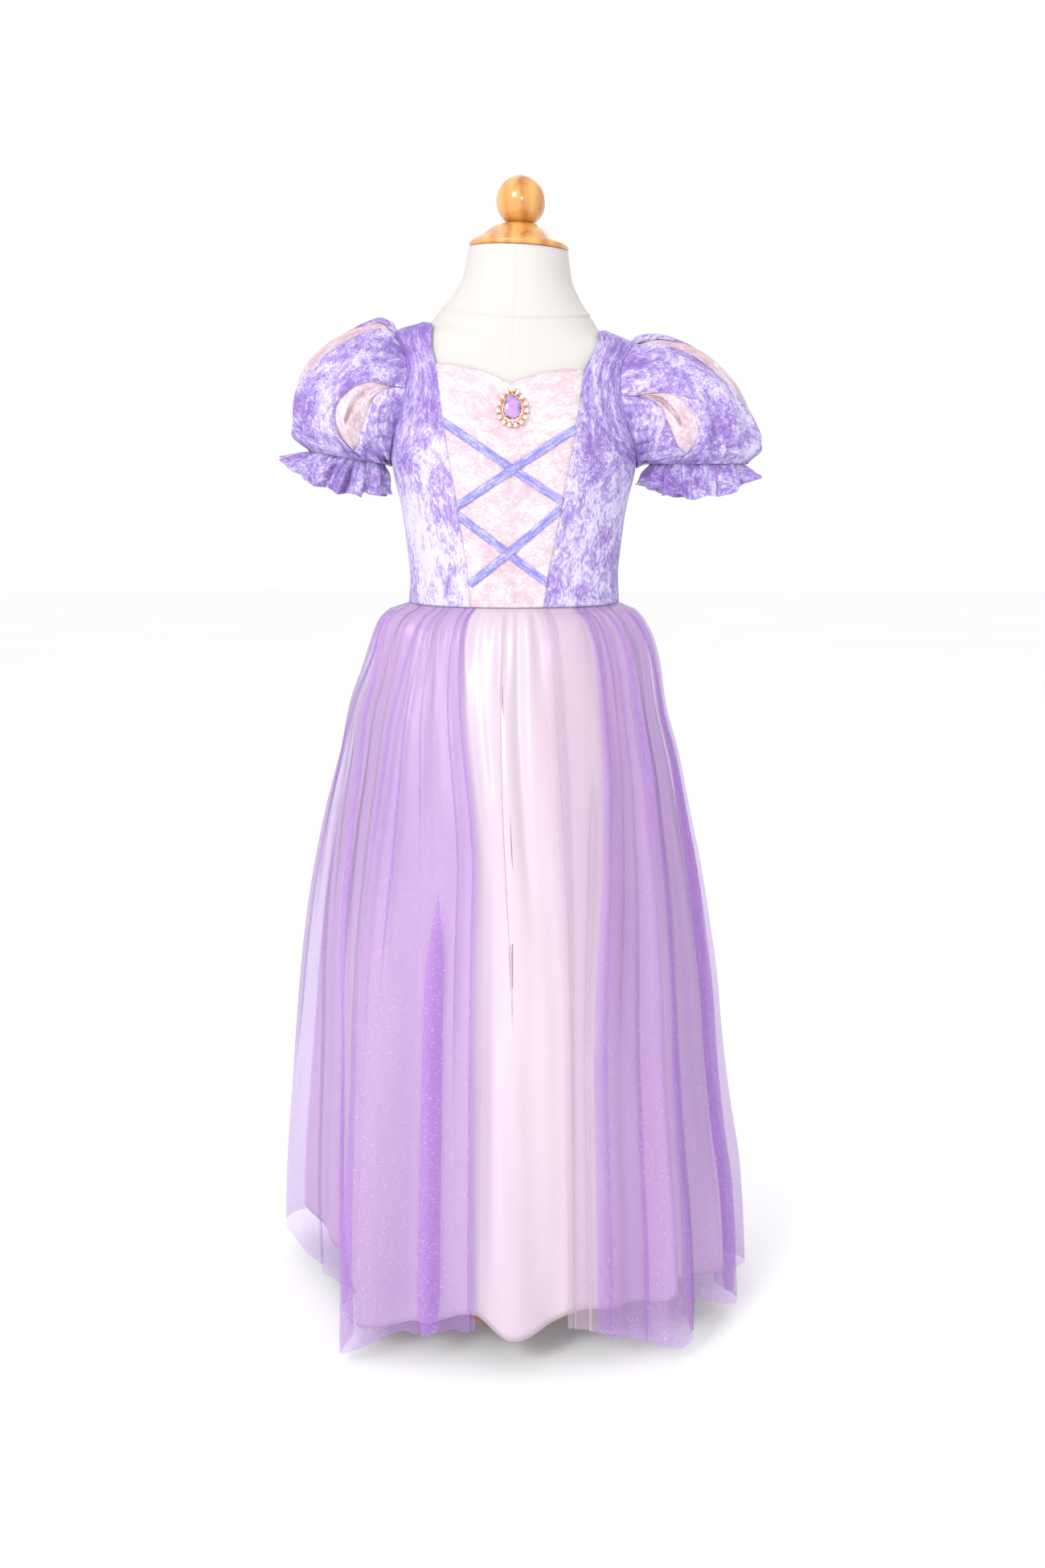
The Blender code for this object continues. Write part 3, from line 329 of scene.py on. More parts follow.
FORM = smooth_table(FORM_RINGS)
FLARE = smooth_table(FLARES)
HEM = smooth_table(HEMS)
SLANT = smooth_table(SLANTS)
SEAMS = smooth_table([FrontRow(r.z, r.left, r.right, 0.0) for r in FRONT_ROWS[:-1]])


def ramp(at, low, high):
    part = np.clip((np.asarray(at, float) - low) / (high - low), 0.0, 1.0)
    return part * part * (3 - 2 * part)


def unit(vectors):
    return vectors / np.linalg.norm(vectors, axis=-1, keepdims=True)


def oval(angle, half_width, front, back, square):
    depth = np.where(np.cos(angle) > 0, front, back)
    across = np.abs(np.sin(angle)) / half_width
    along = np.abs(np.cos(angle)) / depth
    return (across**square + along**square) ** (-1.0 / square)


def form_radius(angle, z):
    return oval(angle, *(read(FORM, name, z) for name in ("half_width", "front", "back", "square")))


def form_point(angle, z):
    radius = form_radius(angle, z)
    x = read(FORM, "shift", z) + radius * np.sin(angle)
    lean = LEAN_SLOPE * x * ramp(z, LEAN_FROM, LEAN_FULL)
    return np.stack([x, -radius * np.cos(angle), z - lean], axis=-1)


def on_form(angle, z, lift):
    """Points at that distance outside the dress form, along its own normal."""
    angle, z, lift = np.broadcast_arrays(np.asarray(angle, float), z, lift)
    around = form_point(angle + 0.02, z) - form_point(angle - 0.02, z)
    upward = form_point(angle, np.minimum(z + 0.0015, FORM_TOP)) - form_point(angle, z - 0.0015)
    return form_point(angle, z) + unit(np.cross(around, upward)) * lift[..., None]


def angle_where(low, high, reaches):
    low, high = np.array(low, float), np.array(high, float)
    for _ in range(26):
        middle = (low + high) / 2
        done = reaches(middle)
        high = np.where(done, middle, high)
        low = np.where(done, low, middle)
    return (low + high) / 2


def angle_at_x(x, z, back=False):
    """The angle on the bodice, front or back, that lies at x."""
    x, z = np.broadcast_arrays(np.asarray(x, float), z)
    side = np.where(x >= 0, 1.0, -1.0)
    start, end = (math.pi, math.pi / 2) if back else (0.0, math.pi / 2)
    shift = read(FORM, "shift", z)

    def reaches(angle):
        return shift * side + (form_radius(angle * side, z) + BODICE_OUTSIDE) * np.sin(angle) >= np.abs(x)

    return side * angle_where(np.full(x.shape, start), np.full(x.shape, end), reaches)


def armhole_depth(z):
    middle = (UNDERARM + SHOULDER_TIP) / 2
    part = (np.asarray(z, float) - middle) / (SHOULDER_TIP - middle)
    return ARMHOLE_DEPTH * np.sqrt(np.maximum(0.0, 1 - part * part))


def angle_at_depth(y, z):
    """The angle on the right of the dress form that lies at y, in front of the side seam or behind it."""
    y, z = np.broadcast_arrays(np.asarray(y, float), z)
    side = np.where(y <= 0, 1.0, -1.0)

    def reaches(angle):
        return form_radius(math.pi / 2 - side * angle, z) * np.sin(angle) >= np.abs(y)

    return math.pi / 2 - side * angle_where(np.zeros(y.shape), np.full(y.shape, math.pi / 2), reaches)


def creases(across, along, table):
    """Soft troughs and ridges between two points each, with a width and a depth, tapered at their ends."""
    total = np.zeros(np.shape(across))
    for x, y, end_x, end_y, width, depth in table:
        run = np.array([end_x - x, end_y - y])
        length = np.hypot(*run)
        share = ((across - x) * run[0] + (along - y) * run[1]) / length**2
        near = np.clip(share, 0, 1)
        away = np.hypot(across - x - near * run[0], along - y - near * run[1])
        tapered = ramp(share, -0.15, 0.35) * (1 - ramp(share, 0.65, 1.15))
        total += depth * np.exp(-((away / width) ** 2)) * tapered
    return total


# Cloth and its finishes


def fill(tree, socket, value):
    """A socket gets another socket's result, or a value of its own."""
    if isinstance(value, bpy.types.NodeSocket):
        tree.links.new(value, socket)
    else:
        socket.default_value = value


def node(tree, kind, **settings):
    """A new node; each setting fills the socket of that name, or is one of the node's own options."""
    made = tree.nodes.new(kind)
    for name, value in settings.items():
        socket = made.inputs.get(name.replace("_", " "))
        if socket is None:
            setattr(made, name, value)
        else:
            fill(tree, socket, value)
    return made


def maths(tree, operation, *terms, kind="ShaderNodeMath"):
    made = node(tree, kind, operation=operation)
    for socket, term in zip(made.inputs, terms):
        fill(tree, socket, term)
    return made.outputs[0]


def noise(tree, place, scale, detail, **settings):
    return node(tree, "ShaderNodeTexNoise", Vector=place, Scale=scale, Detail=detail, **settings).outputs


def finish(name, **sockets):
    """A new material with its shader's own sockets set, followed by its node tree and its shader."""
    made = bpy.data.materials.new(name)
    made.use_nodes = True
    shader = made.node_tree.nodes["Principled BSDF"]
    for socket, value in sockets.items():
        shader.inputs[socket.replace("_", " ")].default_value = value
    return made, made.node_tree, shader


def colours(tree, factor, *stops):
    """The colour at that factor, between stops that each give a place and a colour."""
    made = node(tree, "ShaderNodeValToRGB", Fac=factor)
    first, last = made.color_ramp.elements
    first.position, first.color = stops[0][0], (*stops[0][1], 1)
    last.position, last.color = stops[-1][0], (*stops[-1][1], 1)
    for place, colour in stops[1:-1]:
        made.color_ramp.elements.new(place).color = (*colour, 1)
    return made.outputs["Color"]


def cut_map(tree, scale, turn=0.0, start=(0, 0, 0)):
    """The piece's own cut, in metres, scaled for a pattern."""
    cut = node(tree, "ShaderNodeUVMap", uv_map="Cut").outputs["UV"]
    made = node(tree, "ShaderNodeMapping", Vector=cut, Scale=scale, Rotation=(0, 0, turn), Location=start)
    return made.outputs["Vector"]


# Patches of the crushed pile, painted pale as sheen and deep as shade, from the widest to the finest: size
# of the noise, its detail and its share
Patch = namedtuple("Patch", "size detail share")
PATCHES = (Patch(0.40, 1.5, 0.68), Patch(1.5, 4.0, 0.82), Patch(6.0, 3.0, 0.60), Patch(20.0, 1.0, 0.30))


def crushed_velvet(name, dark, middle, light, scale, turn, sheen, start=(0, 0, 0), lower=0.0, reach=1.0):
    """Velvet whose pile lies in all directions, with painted sheen where patches of it would shine and
    painted shade where others stay deep.

    lower gives painted light and shade: a piece that is reach long is painted that much lighter at its
    bottom and darker at its top, the other way round when lower is negative.
    """
    made, tree, shader = finish(
        name,
        Roughness=0.62,
        Sheen_Weight=sheen,
        Sheen_Roughness=0.35,
        Sheen_Tint=(*light, 1),
        Specular_IOR_Level=0.25,
    )
    place = cut_map(tree, scale, turn, start)
    swirl = noise(tree, place, 0.6, 3.0, Roughness=0.6)["Color"]
    bent = maths(tree, "MULTIPLY_ADD", swirl, (1.2, 1.2, 0), place, kind="ShaderNodeVectorMath")
    total = 0.5
    for patch in PATCHES:
        cloud = noise(tree, bent, patch.size, patch.detail, Roughness=0.6)["Fac"]
        level = maths(tree, "SUBTRACT", cloud, 0.5)
        total = maths(tree, "MULTIPLY_ADD", level, patch.share, total)
    # Painted light towards the bottom of the piece and painted shade towards its top
    if lower:
        up = node(tree, "ShaderNodeSeparateXYZ", Vector=cut_map(tree, (1, 1, 1))).outputs["Y"]
        painted_shading = node(tree, "ShaderNodeMapRange", Value=up, From_Max=reach, To_Min=lower, To_Max=-lower)
        total = maths(tree, "ADD", total, painted_shading.outputs["Result"])
    # dark is painted shade, middle the velvet's own colour, and light the painted sheen of the crushed pile
    tone = colours(tree, total, (0.30, dark), (0.50, middle), (0.66, light), (0.80, light))
    tree.links.new(tone, shader.inputs["Base Color"])
    bump = node(tree, "ShaderNodeBump", Strength=0.3, Distance=0.0010, Height=total)
    tree.links.new(bump.outputs["Normal"], shader.inputs["Normal"])
    return made


# Each velvet's colours: painted shade, its own colour, and painted sheen
LILACS = (0.22, 0.125, 0.42), (0.36, 0.27, 0.56), (0.60, 0.56, 0.76)
# The lilac velvets differ in where their patches fall and in how strong their painted light and shade from
# bottom to top is
LILAC_LEFT = crushed_velvet("lilac_velvet_left", *LILACS, (100, 52, 1), 0.0, 0.25, (3, 8, 0), 0.15, 0.25)
LILAC_RIGHT = crushed_velvet("lilac_velvet_right", *LILACS, (100, 52, 1), 0.0, 0.25, (11, 2, 0), 0.06, 0.25)
LILAC_SLEEVE = crushed_velvet("lilac_velvet_sleeves", *LILACS, (75, 75, 1), 0.5, 0.25, (5, 5, 0), 0.03, 0.13)
LILAC_FRILL = crushed_velvet("lilac_velvet_frills", *LILACS, (75, 75, 1), 0.2, 0.25, (9, 1, 0), -0.03, 0.03)
PINKS = (0.56, 0.40, 0.465), (0.62, 0.50, 0.55), (0.71, 0.65, 0.69)
PINK = crushed_velvet("pink_velvet", *PINKS, (45, 75, 1), 0.25, 0.2)
# A darker copy of the pink velvet for the leaves: painted shade, as they lie set back under the petals'
# edges
SHADED_LEAF_PINKS = (0.50, 0.335, 0.40), (0.60, 0.455, 0.51), (0.70, 0.64, 0.67)
PINK_LEAF = crushed_velvet("pink_velvet_leaves", *SHADED_LEAF_PINKS, (60, 40, 1), 0.1, 0.2, lower=0.06, reach=0.11)
PERIWINKLES = (0.20, 0.18, 0.56), (0.28, 0.26, 0.62), (0.52, 0.50, 0.76)
RIBBON = crushed_velvet("ribbon_velvet", *PERIWINKLES, (60, 200, 1), 0.0, 0.3)


def woven(name, colour, shade, roughness, weave, depth, **sockets):
    """A plain woven or knitted cloth with a fine thread relief and a slow change of tone."""
    made, tree, shader = finish(name, Roughness=roughness, **sockets)
    slow = noise(tree, cut_map(tree, (9, 3, 1)), 1.0, 3.0, Roughness=0.55)["Fac"]
    tree.links.new(colours(tree, slow, (0.3, shade), (0.7, colour)), shader.inputs["Base Color"])
    place = cut_map(tree, (weave, weave, 1))
    waves = [
        node(tree, "ShaderNodeTexWave", Vector=place, Scale=1.0, bands_direction=way).outputs["Fac"]
        for way in ("X", "Y")
    ]
    bump = node(tree, "ShaderNodeBump", Strength=depth, Distance=0.0003, Height=maths(tree, "ADD", *waves))
    tree.links.new(bump.outputs["Normal"], shader.inputs["Normal"])
    return made


SATIN = woven(
    "pale_pink_satin",
    (0.62, 0.515, 0.60),
    (0.57, 0.46, 0.56),
    0.28,
    900,
    0.04,
    Sheen_Weight=0.1,
    Sheen_Roughness=0.3,
    Anisotropic=0.4,
    Specular_IOR_Level=0.8,
)
JERSEY = woven("cream_jersey", (0.60, 0.578, 0.555), (0.575, 0.553, 0.53), 0.85, 420, 0.18, Sheen_Weight=0.1)


def tulle(name, colour, deep, clear, glitter):
    """Sheer net: mostly clear, with threads of its own colour, and specks of glitter painted near white as
    their glint.
    """
    made, tree, shader = finish(name, Roughness=0.55, Alpha=clear, Sheen_Weight=0.2, Specular_IOR_Level=0.2)
    slow = noise(tree, cut_map(tree, (14, 5, 1)), 1.0, 4.0, Roughness=0.6)["Fac"]
    tone = colours(tree, slow, (0.35, deep), (0.65, colour))
    if glitter:
        place = cut_map(tree, (420, 420, 1))
        grains = node(tree, "ShaderNodeTexVoronoi", Vector=place, Scale=1.0, Randomness=1.0)
        white, black = (1, 1, 1), (0, 0, 0)
        stops = (0.0, white), (0.13, white), (0.19, black), (1, black)
        specks = colours(tree, grains.outputs["Distance"], *stops)
        # Real glitter specks; their near white colour is a painted glint
        glint = (0.97, 0.93, 1.0, 1)
        speckled = node(tree, "ShaderNodeMix", data_type="RGBA", Factor=specks, A=tone, B=glint)
        tone = speckled.outputs["Result"]
    tree.links.new(tone, shader.inputs["Base Color"])
    return made


LILAC_TULLE = tulle("lilac_glitter_tulle", (0.47, 0.235, 0.68), (0.40, 0.185, 0.62), 0.36, True)
PALE_TULLE = tulle("pale_pink_tulle", (0.68, 0.53, 0.67), (0.63, 0.475, 0.63), 0.34, False)


def wood():
    made, tree, shader = finish("varnished_wood", Roughness=0.32, Coat_Weight=0.7, Coat_Roughness=0.08)
    place = node(tree, "ShaderNodeTexCoord").outputs["Object"]
    drawn = node(tree, "ShaderNodeMapping", Vector=place, Scale=(60, 60, 14), Rotation=(0.12, 0.2, 0))
    long = drawn.outputs["Vector"]
    grain = noise(tree, long, 1.0, 6.0, Roughness=0.6, Distortion=1.2)["Fac"]
    rings = node(tree, "ShaderNodeTexWave", Vector=long, Scale=0.35, Distortion=5.0, Detail=2.0)
    both = maths(tree, "MULTIPLY_ADD", rings.outputs["Fac"], 0.35, grain)
    dark, middle, light = (0.42, 0.155, 0.030), (0.60, 0.27, 0.060), (0.68, 0.36, 0.10)
    tone = colours(tree, both, (0.35, dark), (0.62, middle), (0.85, light))
    tree.links.new(tone, shader.inputs["Base Color"])
    return made


def clouded(name, scale, detail, low, high, **sockets):
    """A finish that changes slowly between the two stops low and high, over the whole object."""
    made, tree, shader = finish(name, **sockets)
    cloud = noise(tree, node(tree, "ShaderNodeTexCoord").outputs["Object"], scale, detail)["Fac"]
    tree.links.new(colours(tree, cloud, low, high), shader.inputs["Base Color"])
    return made


def metal(name, colour, roughness):
    darker = tuple(part * 0.88 for part in colour)
    return clouded(name, 900.0, 3.0, (0.3, darker), (0.7, colour), Roughness=roughness, Metallic=1.0)


def gem(name, colour, deep, roughness):
    glaze = {"IOR": 1.6, "Coat_Weight": 1.0, "Coat_Roughness": 0.02}
    return clouded(name, 150.0, 0.5, (0.35, deep), (0.65, colour), Roughness=roughness, **glaze)


WOOD = wood()
ROSE_GOLD = metal("rose_gold", (0.90, 0.62, 0.48), 0.22)
STEEL = metal("brushed_steel", (0.62, 0.62, 0.64), 0.34)
STONE = gem("purple_stone", (0.46, 0.26, 0.66), (0.10, 0.04, 0.20), 0.06)
PEARL = gem("pearl", (0.93, 0.80, 0.74), (0.88, 0.72, 0.66), 0.18)


def add_piece(name, mesh_builder, material, nodes):
    """A finished piece: it rides on the only body, stands for its CAD nodes and takes their finish."""
    mesh = bpy.data.meshes.new(name)
    mesh_builder.to_mesh(mesh)
    mesh_builder.free()
    mesh.materials.append(material)
    mesh.shade_smooth()
    made = bpy.data.objects.new(name, mesh)
    bpy.context.scene.collection.objects.link(made)
    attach(made, "root")
    if nodes:
        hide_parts(*nodes)
    return made


# How a sheet is held, what it rests on, and its flat area where its cut isn't a rectangle
Sewn = namedtuple("Sewn", "held rests_on area", defaults=(None,))


def cloth(name, surface, columns, rows, cut, material, nodes, wall=VELVET_WALL, closed=False):
    """A sheet of cloth: surface(u, v) gives its outer face, cut its width and length before sewing."""
    grid = bmesh.new()
    bmesh.ops.create_grid(grid, x_segments=columns, y_segments=rows, size=0.5)
    across = np.array([vert.co.x for vert in grid.verts]) + 0.5
    along = np.array([vert.co.y for vert in grid.verts]) + 0.5
    uv = grid.loops.layers.uv.new("Cut")
    for face in grid.faces:
        for loop in face.loops:
            at = loop.vert.co
            loop[uv].uv = ((at.x + 0.5) * cut[0], (at.y + 0.5) * cut[1])
    for vert, spot in zip(grid.verts, surface(across, along).tolist()):
        vert.co = spot
    if closed:
        bmesh.ops.remove_doubles(grid, verts=grid.verts, dist=1e-6)
    made = add_piece(name, grid, material, nodes)
    if wall:
        thick = made.modifiers.new("Wall", "SOLIDIFY")
        thick.thickness = wall
        thick.offset = -1.0
    return made


# Dress form


def build_form():
    turns = 2 * math.pi

    def body(u, v):
        z = 0.560 + (FORM_TOP - 0.560) * v
        angle = turns * u
        above = z - (0.9885 - 0.0085 * np.cos(angle))
        ridge = 0.0008 * np.exp(-((above / 0.0012) ** 2))
        groove = -0.0008 * np.exp(-(((above + 0.0026) / 0.0012) ** 2))
        front_seam = -0.0006 * np.exp(-((np.sin(angle) / 0.012) ** 2)) * (np.cos(angle) > 0) * (z > 0.7)
        return on_form(angle, z, ridge + groove + front_seam)

    cut, nodes = (0.62, 0.48), ["form_body"]
    made = cloth("form_jersey", body, 144, 420, cut, JERSEY, nodes, wall=0, closed=True)
    shell = bmesh.new()
    shell.from_mesh(made.data)
    bmesh.ops.holes_fill(shell, edges=shell.edges)
    shell.to_mesh(made.data)
    shell.free()
    tilt = Matrix.Translation((0.005, 0, FORM_TOP + 0.0003)) @ Matrix.Rotation(math.atan(LEAN_SLOPE), 4, "Y")
    cap_profile = (
        (0.0, 0.0225),
        (0.0150, 0.0225),
        (0.0172, 0.0219),
        (0.0235, 0.0197),
        (0.0290, 0.0160),
        (0.0340, 0.0122),
        (0.0390, 0.0089),
        (0.0430, 0.0064),
        (0.0452, 0.0050),
        (0.0462, 0.0040),
        (0.0465, 0.0028),
        (0.0462, 0.0015),
        (0.0453, 0.0004),
        (0.0440, 0.0),
        (0.0, 0.0),
    )
    centre = 0.0225 + 0.0003 + 0.0194
    radius = 0.0229
    low = math.acos(0.0194 / radius)
    ball_profile = [
        (radius * math.sin(t), centre + radius * math.cos(t)) for t in np.linspace(0, math.pi - low, 28)
    ] + [(0.0, centre - 0.0194)]
    for name, profile, nodes in (
        ("cap_turned", cap_profile, ["form_cap"]),
        ("ball_turned", ball_profile, ["form_finial"]),
    ):
        turned = bmesh.new()
        points = [turned.verts.new((r, 0, z)) for r, z in profile]
        edges = [turned.edges.new(pair) for pair in zip(points, points[1:])]
        bmesh.ops.spin(
            turned,
            geom=points + edges,
            cent=(0, 0, 0),
            axis=(0, 0, 1),
            angle=turns,
            steps=96,
            use_merge=True,
        )
        bmesh.ops.remove_doubles(turned, verts=turned.verts, dist=1e-6)
        bmesh.ops.recalc_face_normals(turned, faces=turned.faces)
        bmesh.ops.transform(turned, matrix=tilt, verts=turned.verts)
        piece = add_piece(name, turned, WOOD, nodes)
        bevel = piece.modifiers.new("Soft edges", "BEVEL")
        bevel.width = 0.0006
        bevel.segments = 2
        bevel.limit_method = "ANGLE"
        bevel.angle_limit = math.radians(30)
    for name, material in (("form_base", WOOD), ("form_pole", STEEL)):
        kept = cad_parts[name]
        kept.material_slots[0].material = material


# Bodice


def rows_as_edges(rows, side, back):
    """The inner and outer edge of a bodice panel as smooth curves of the row number."""
    Edge = namedtuple("Edge", "row inner inner_z outer outer_z")
    found = []
    for index, row in enumerate(rows):
        x = row.x if back else (row.left if side < 0 else row.right)
        inner = math.pi / 2 if x is None else abs(float(angle_at_x(max(x, 1e-4) * side, row.z, back)))
        depth = float(armhole_depth(row.outer_z)) if row.outer_z >= UNDERARM else 0.0
        outer = math.pi / 2
        if depth > 1e-5:
            outer = float(angle_at_depth(depth if back else -depth, row.outer_z))
        found.append(Edge(index, inner, row.z, outer, row.outer_z))
    return smooth_table(found)


SEAM_ROWS = [row for row in FRONT_ROWS if row.left and row.z < SWEETHEART_DIP + SWEETHEART_RISE]


def velvet_panel(name, rows, side, back, cut, material):
    """A quarter of the bodice, with creases placed in metres from its lower inner corner."""
    edges = rows_as_edges(rows, side, back)
    armhole_row = next(index for index, row in enumerate(rows) if row.outer_z >= UNDERARM)

    def surface(u, v):
        row = v * (len(rows) - 1)
        across = u if side > 0 else 1 - u
        across = 1 - across if back else across
        inner, outer = read(edges, "inner", row), read(edges, "outer", row)
        z = read(edges, "inner_z", row)
        z = z + (read(edges, "outer_z", row) - z) * across
        angle = (inner + (outer - inner) * across) * side
        width = np.abs(outer - inner) * 0.095 + 1e-4
        seam = across * width + 0.02 * ramp(row, len(SEAM_ROWS) - 1, len(SEAM_ROWS)) * (not back)
        side_seam = (1 - across) * width + 0.02 * (row > armhole_row)
        lift = BODICE_OUTSIDE - 0.0009 * np.exp(-((np.minimum(seam, side_seam) / 0.0018) ** 2))
        return on_form(angle, z, lift + creases(across * width, z - WAIST, BODICE_MARKS))

    cloth(name + "_velvet", surface, 70, 150, cut, material, [name])


BODICE_MARKS = (
    (0.010, 0.004, 0.016, 0.060, 0.0050, 0.0011),
    (0.026, 0.002, 0.024, 0.075, 0.0045, -0.0010),
    (0.044, 0.006, 0.040, 0.050, 0.0040, 0.0009),
    (0.060, 0.003, 0.064, 0.090, 0.0060, 0.0012),
    (0.020, 0.100, 0.046, 0.130, 0.0055, 0.0010),
    (0.012, 0.150, 0.040, 0.126, 0.0050, -0.0008),
    (0.030, 0.175, 0.052, 0.150, 0.0045, 0.0010),
    (0.010, 0.205, 0.022, 0.235, 0.0040, 0.0008),
)
CENTRE_MARKS = (
    (-0.030, 0.022, 0.028, 0.026, 0.0035, 0.0013),
    (-0.034, 0.033, 0.010, 0.031, 0.0030, -0.0010),
    (-0.010, 0.014, 0.028, 0.016, 0.0028, 0.0010),
    (-0.036, 0.060, -0.004, 0.052, 0.0040, 0.0009),
    (0.004, 0.066, 0.036, 0.074, 0.0036, 0.0009),
    (-0.044, 0.112, -0.010, 0.120, 0.0040, 0.0008),
    (0.008, 0.128, 0.046, 0.120, 0.0042, 0.0008),
    (-0.050, 0.186, -0.018, 0.174, 0.0036, 0.0008),
    (0.020, 0.172, 0.050, 0.190, 0.0038, 0.0007),
)


def build_bodice():
    for side, word in ((-1, "left"), (1, "right")):
        velvet = LILAC_LEFT if side < 0 else LILAC_RIGHT
        velvet_panel(f"bodice_front_{word}", FRONT_ROWS, side, False, (0.085, 0.27), velvet)
        velvet_panel(f"bodice_back_{word}", BACK_ROWS, side, True, (0.150, 0.26), velvet)

    def centre(u, v):
        lobe = np.sin(math.pi / 2 * np.abs(2 * u - 1))
        top = SWEETHEART_DIP + SWEETHEART_RISE * lobe
        z = WAIST + (top - WAIST) * v
        left = angle_at_x(-read(SEAMS, "left", z), z)
        right = angle_at_x(read(SEAMS, "right", z), z)
        x = (u - 0.5) * 0.10
        rim = np.minimum(np.minimum(u, 1 - u) * 0.10, (1 - v) * 0.21 + 0.0008)
        lift = BODICE_OUTSIDE - 0.0009 * np.exp(-((rim / 0.0018) ** 2))
        return on_form(left + (right - left) * u, z, lift + creases(x, z - WAIST, CENTRE_MARKS))

    cut, nodes = (0.125, 0.215), ["bodice_centre"]
    cloth("bodice_centre_velvet", centre, 110, 150, cut, PINK, nodes)
    crossings = {}
    for under, over in ((LACING[0], LACING[1]), (LACING[2], LACING[3])):
        run = np.array([under.end_x - under.x, under.end_z - under.z])
        other = np.array([over.end_x - over.x, over.end_z - over.z])
        between = np.array([over.x - under.x, over.z - under.z])
        share = (between[0] * other[1] - between[1] * other[0]) / (run[0] * other[1] - run[1] * other[0])
        crossings[under.name] = crossings[over.name] = np.array([under.x, under.z]) + run * share
    for lace in LACING:
        start = np.array([lace.x, lace.z])
        run = np.array([lace.end_x - lace.x, lace.end_z - lace.z])
        across = np.array([-run[1], run[0]]) / np.hypot(*run)
        facing = 1 if run[0] > 0 else -1

        def ribbon(u, v):
            along = u if facing > 0 else 1 - u
            spot = start + run * along[:, None] + across * facing * LACE_WIDTH * (v[:, None] - 0.5)
            z = spot[:, 1]
            x = np.clip(spot[:, 0], -read(SEAMS, "left", z), read(SEAMS, "right", z))
            away = np.hypot(*(np.stack([x, z], axis=-1) - crossings[lace.name]).T)
            lift = BODICE_OUTSIDE + 0.0013 + 0.0004 * (1 - (2 * v - 1) ** 4)
            lift = lift + 0.0013 * (1 - ramp(away, LACE_WIDTH * 0.6, 0.016)) * lace.over
            lift = lift - 0.0012 * np.exp(-((np.minimum(along, 1 - along) / 0.03) ** 2))
            return on_form(angle_at_x(x, z), z, lift)

        cut = (round(float(np.hypot(*run)) + 0.002, 3), 0.010)
        cloth(lace.name + "_ribbon", ribbon, 90, 8, cut, RIBBON, [lace.name], 0.0009)


# Brooch

PEAR_POINT = 0.42
BROOCH_X, BROOCH_Z = -0.0010, 0.8972


def teardrop(turn, half):
    turns = np.linspace(0, math.pi, 90)
    widest = np.max(np.sin(turns) * np.sin(turns / 2) ** PEAR_POINT)
    wide = np.sin(turn) * np.abs(np.sin(turn / 2)) ** PEAR_POINT / widest
    return half[0] * wide, half[1] * np.cos(turn)


def pear_rings(layers, segments):
    """A closed solid of pear outlines from its lowest to its highest layer."""
    solid = bmesh.new()
    bmesh.ops.create_grid(solid, x_segments=segments, y_segments=len(layers) - 1, size=0.5)
    for vert in solid.verts:
        half, height, turn = layers[round((vert.co.y + 0.5) * (len(layers) - 1))]
        x, y = teardrop((0.5 - vert.co.x + turn / segments) * 2 * math.pi, half)
        vert.co = (x, y, height)
    bmesh.ops.remove_doubles(solid, verts=solid.verts, dist=1e-6)
    bmesh.ops.holes_fill(solid, edges=solid.edges)
    bmesh.ops.recalc_face_normals(solid, faces=solid.faces)
    return solid


